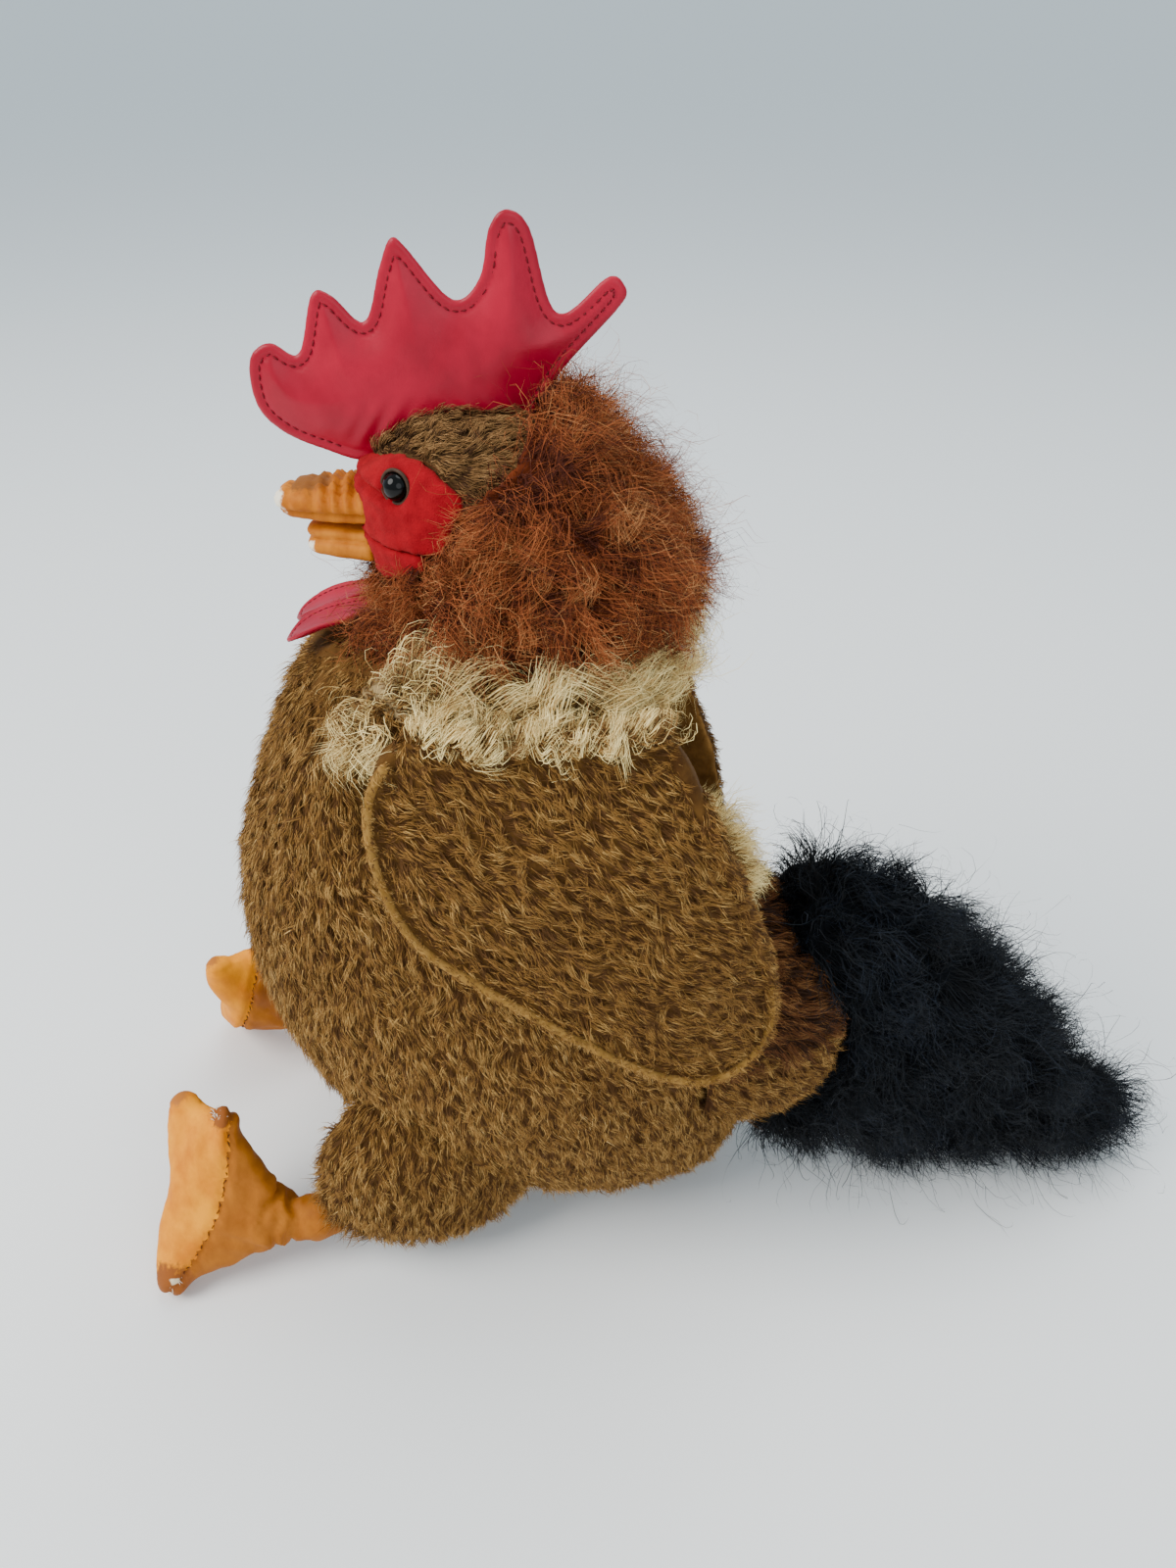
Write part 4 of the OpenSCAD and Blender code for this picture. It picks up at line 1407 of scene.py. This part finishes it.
def seam_stitches(loop, inside, step, share, gap, past=-1.0):
    """Both ends of each flat stitch past this place, with none across a gap in the line."""
    marks = spaced(shrunk_loop(loop, inside), step)
    marks = marks[marks[:, 0] > past]
    for a, c in zip(marks, marks[1:]):
        if np.linalg.norm(c - a) <= gap:
            yield a, a + (c - a) * share


def make_comb():
    loop = smooth_loop(COMB_OUTLINE, 8)
    comb = slab("comb_vinyl", loop, 0.0036, 0.00115, [VINYL])
    co = relaxed(places(comb), edge_pairs(comb), 2)
    deep = inside_by(co[:, 1:], loop)
    puff = np.clip(deep - COMB_SEAM, 0, None)
    thick = 0.00135 + 0.0046 * (1 - np.exp(-((puff / 0.0095) ** 1.25)))
    thick -= 0.0005 * bell(deep - COMB_SEAM, 0.0007)
    thick *= np.clip(0.35 + deep / 0.0016, 0.35, 1) ** 0.5
    side = np.sign(co[:, 0])
    level = np.clip(np.abs(co[:, 0]) / 0.0018, 0, 1)
    y, z = co[:, 1], co[:, 2]
    # the vinyl is gathered where it is sewn down to the crown
    near_base = np.clip(1 - (z - 0.402) / 0.030, 0, 1) * step_up(y, -0.140, 0.02)
    fanned = (y + 0.6 * (z - 0.40) * np.sign(y + 0.10)) / 0.00125
    fold = near_base**1.5 * 0.0014 * np.sin(fanned + 2 * side)
    each_side = np.stack([side * 0.05, y, z], axis=1)
    soft = 0.0011 * LUMPS(each_side, 0.020)
    soft += 0.0007 * LUMPS(each_side, 0.008, (1, 1, 0.6))
    grow = np.clip(puff / 0.006, 0, 1)
    co[:, 0] = side * level * np.maximum(thick + grow * (fold + soft), 0.0008)
    # the tall tips lean a little off the middle, as cloth does
    co[:, 0] += 0.0022 * step_up(z, 0.44, 0.05) * np.sin(y / 0.018)
    move(comb, co)
    parts = ["comb_left_panel", "comb_right_panel", "comb_filling"]
    finish_piece(comb, "head", "red_vinyl", parts)
    tree = nearest_tree([(p[1], p[2], 0.02 * (1 if p[0] > 0 else -1)) for p in co])
    paths = []
    for a, b in seam_stitches(loop, COMB_SEAM, 0.0033, 0.68, 0.006):
        if a[1] < 0.409:
            continue
        for s in (1, -1):
            xa = co[tree.find((a[0], a[1], 0.02 * s))[1]][0]
            xb = co[tree.find((b[0], b[1], 0.02 * s))[1]][0]
            paths.append([
                (xa, a[0], a[1]),
                ((xa + xb) / 2 + s * 0.0003, (a[0] + b[0]) / 2, (a[1] + b[1]) / 2),
                (xb, b[0], b[1]),
            ])
    thread = tubes("comb_stitches", paths, 0.00036, [VINYL_THREAD], 5)
    finish_piece(thread, "head", "red_vinyl")


WATTLE_OUTLINE = np.array([
    (3, -5), (14, -8.5), (28, -9.8), (38, -9), (44, -5.5), (46, 0), (44, 5.5), (36, 8.8),
    (20, 8.8), (10, 6.5), (3, 4.5),
]) * MM


def make_wattle(side):
    s = 1 if side == "left" else -1
    loop = smooth_loop(WATTLE_OUTLINE, 6)
    leaf = slab(f"wattle_{side}_vinyl", loop, 0.0024, 0.0008, [VINYL])
    co = relaxed(places(leaf), edge_pairs(leaf), 2)
    deep = inside_by(co[:, 1:], loop)
    level = np.clip(co[:, 0] / 0.0012, -1, 1)
    puff = np.clip(deep - WATTLE_SEAM, 0, None)
    thick = 0.0010 + 0.0009 * (1 - np.exp(-puff / 0.004))
    thick -= 0.0004 * bell(deep - WATTLE_SEAM, 0.0006)
    height = level * thick
    # a gentle cup across the leaf and a droop at its tip
    length, across = co[:, 1], co[:, 2]
    height += 0.9 * across**2 / 0.03 - 0.10 * np.clip(length - 0.02, 0, None) ** 2 / 0.025
    height += 0.0006 * LUMPS(raised_flat(co[:, 1:]), 0.009)
    local = np.stack([length, across, height, np.ones(len(co))], axis=1)
    place = (
        Matrix.Translation((0.0098, -0.1215, 0.3475))
        @ Matrix.Rotation(math.radians(-90), 4, "Z")
        @ Matrix.Rotation(math.radians(17), 4, "Y")
    )
    m = np.array(place)
    move(leaf, (local @ m.T)[:, :3] * np.array([s, 1, 1]))
    if s < 0:
        leaf.data.flip_normals()
    body = f"wattle_{side}"
    finish_piece(leaf, body, "red_vinyl", [f"wattle_{side}"])
    paths = []
    for a, b in seam_stitches(loop, WATTLE_SEAM, 0.0026, 0.66, 0.005, 0.006):
        for top in (1, -1):
            row = []
            for p, up in ((a, 0.0), ((a + b) / 2, 0.0002), (b, 0.0)):
                near = np.argmin(lengths(local[:, :2] - p) + 0.05 * (np.sign(level) != top))
                h = local[near, 2] + top * up
                q = m @ np.array([p[0], p[1], h, 1])
                row.append((q[0] * s, q[1], q[2]))
            paths.append(row)
    thread = tubes(f"wattle_{side}_stitches", paths, 0.00028, [VINYL_THREAD], 5)
    finish_piece(thread, body, "red_vinyl")


# ---------- tail ----------


def make_tail():
    parts = ["tail_skin", "tail_filling"]
    skin = from_nodes("tail_plush", parts, 0.0036, 6, [BLACK_BASE])
    near_rump = step_up(0.092, places(skin)[:, 1], 0.03)
    inset(skin, 0.0085 - 0.0090 * near_rump, 0.0030, 0.024)
    above_floor(skin, 0.001)
    finish_piece(skin, "tail", "black_fur", parts)

    def shown(root, out):
        return out[:, 2] > -0.97

    def trim(root, out):
        """Shorter where the tail meets the rump."""
        return np.where((out[:, 1] < -0.5) & (root[:, 1] < 0.10), 0.55, 1.0)

    fur(["tail_hair_left", "tail_hair_right"], "tail", "black_fur", skin, BLACK_HAIR, (0.45, 0.95),
        along(0, 0.8, -0.35), 81, per_cm2=34, clump=0.011, length=0.022, width=0.00045, rings=5,
        lift=0.42, curl=0.0040, turns=1.3, pull=0.6, droop=0.05, wave=1.3, wave_size=0.03,
        jitter=0.9, keep=shown, trim=trim, split=two_ways, tone=0.3, stray=0.05)
    fur(["tail_strays"], "tail", "black_fur", skin, BLACK_HAIR[1:], (0.9,), along(0, 0.8, 0.1), 82,
        per_cm2=1.5, clump=0.004, length=0.036, width=0.00034, rings=9, lift=0.8, curl=0.008,
        turns=1.0, pull=0.0, droop=0.1, wave=1.4, jitter=1.2, keep=shown)


# ---------- the inside of the puppet, and the stage ----------


def make_inside():
    recolour("hand_sleeve", SLEEVE)
    recolour("head_pocket", SLEEVE)


def make_stage():
    bpy.ops.mesh.primitive_plane_add(size=90, location=(0, 0, 0))
    floor = bpy.context.object
    floor.name = "floor"
    table, _, shader = new_material("pale_table", 0.55, 0.0)
    shader.inputs["Base Color"].default_value = linear(246, 245, 242)
    floor.data.materials.append(table)
    world = bpy.data.worlds.new("studio")
    SCENE.world = world
    world.use_nodes = True
    back = world.node_tree.nodes["Background"]
    back.inputs["Color"].default_value = linear(*SKY)
    back.inputs["Strength"].default_value = SKY_STRENGTH
    for light in LIGHTS:
        area_light(*light)


make_camera()
make_stage()
make_inside()
make_torso()
make_collar()
make_rump()
for leg, number in (("left", 91), ("right", 92)):
    make_thigh(leg, number)
    make_foot(leg)
    make_wing(leg, number + 10)
    make_wattle(leg)
make_head()
make_hackle()
make_face()
make_beak()
make_comb()
make_tail()
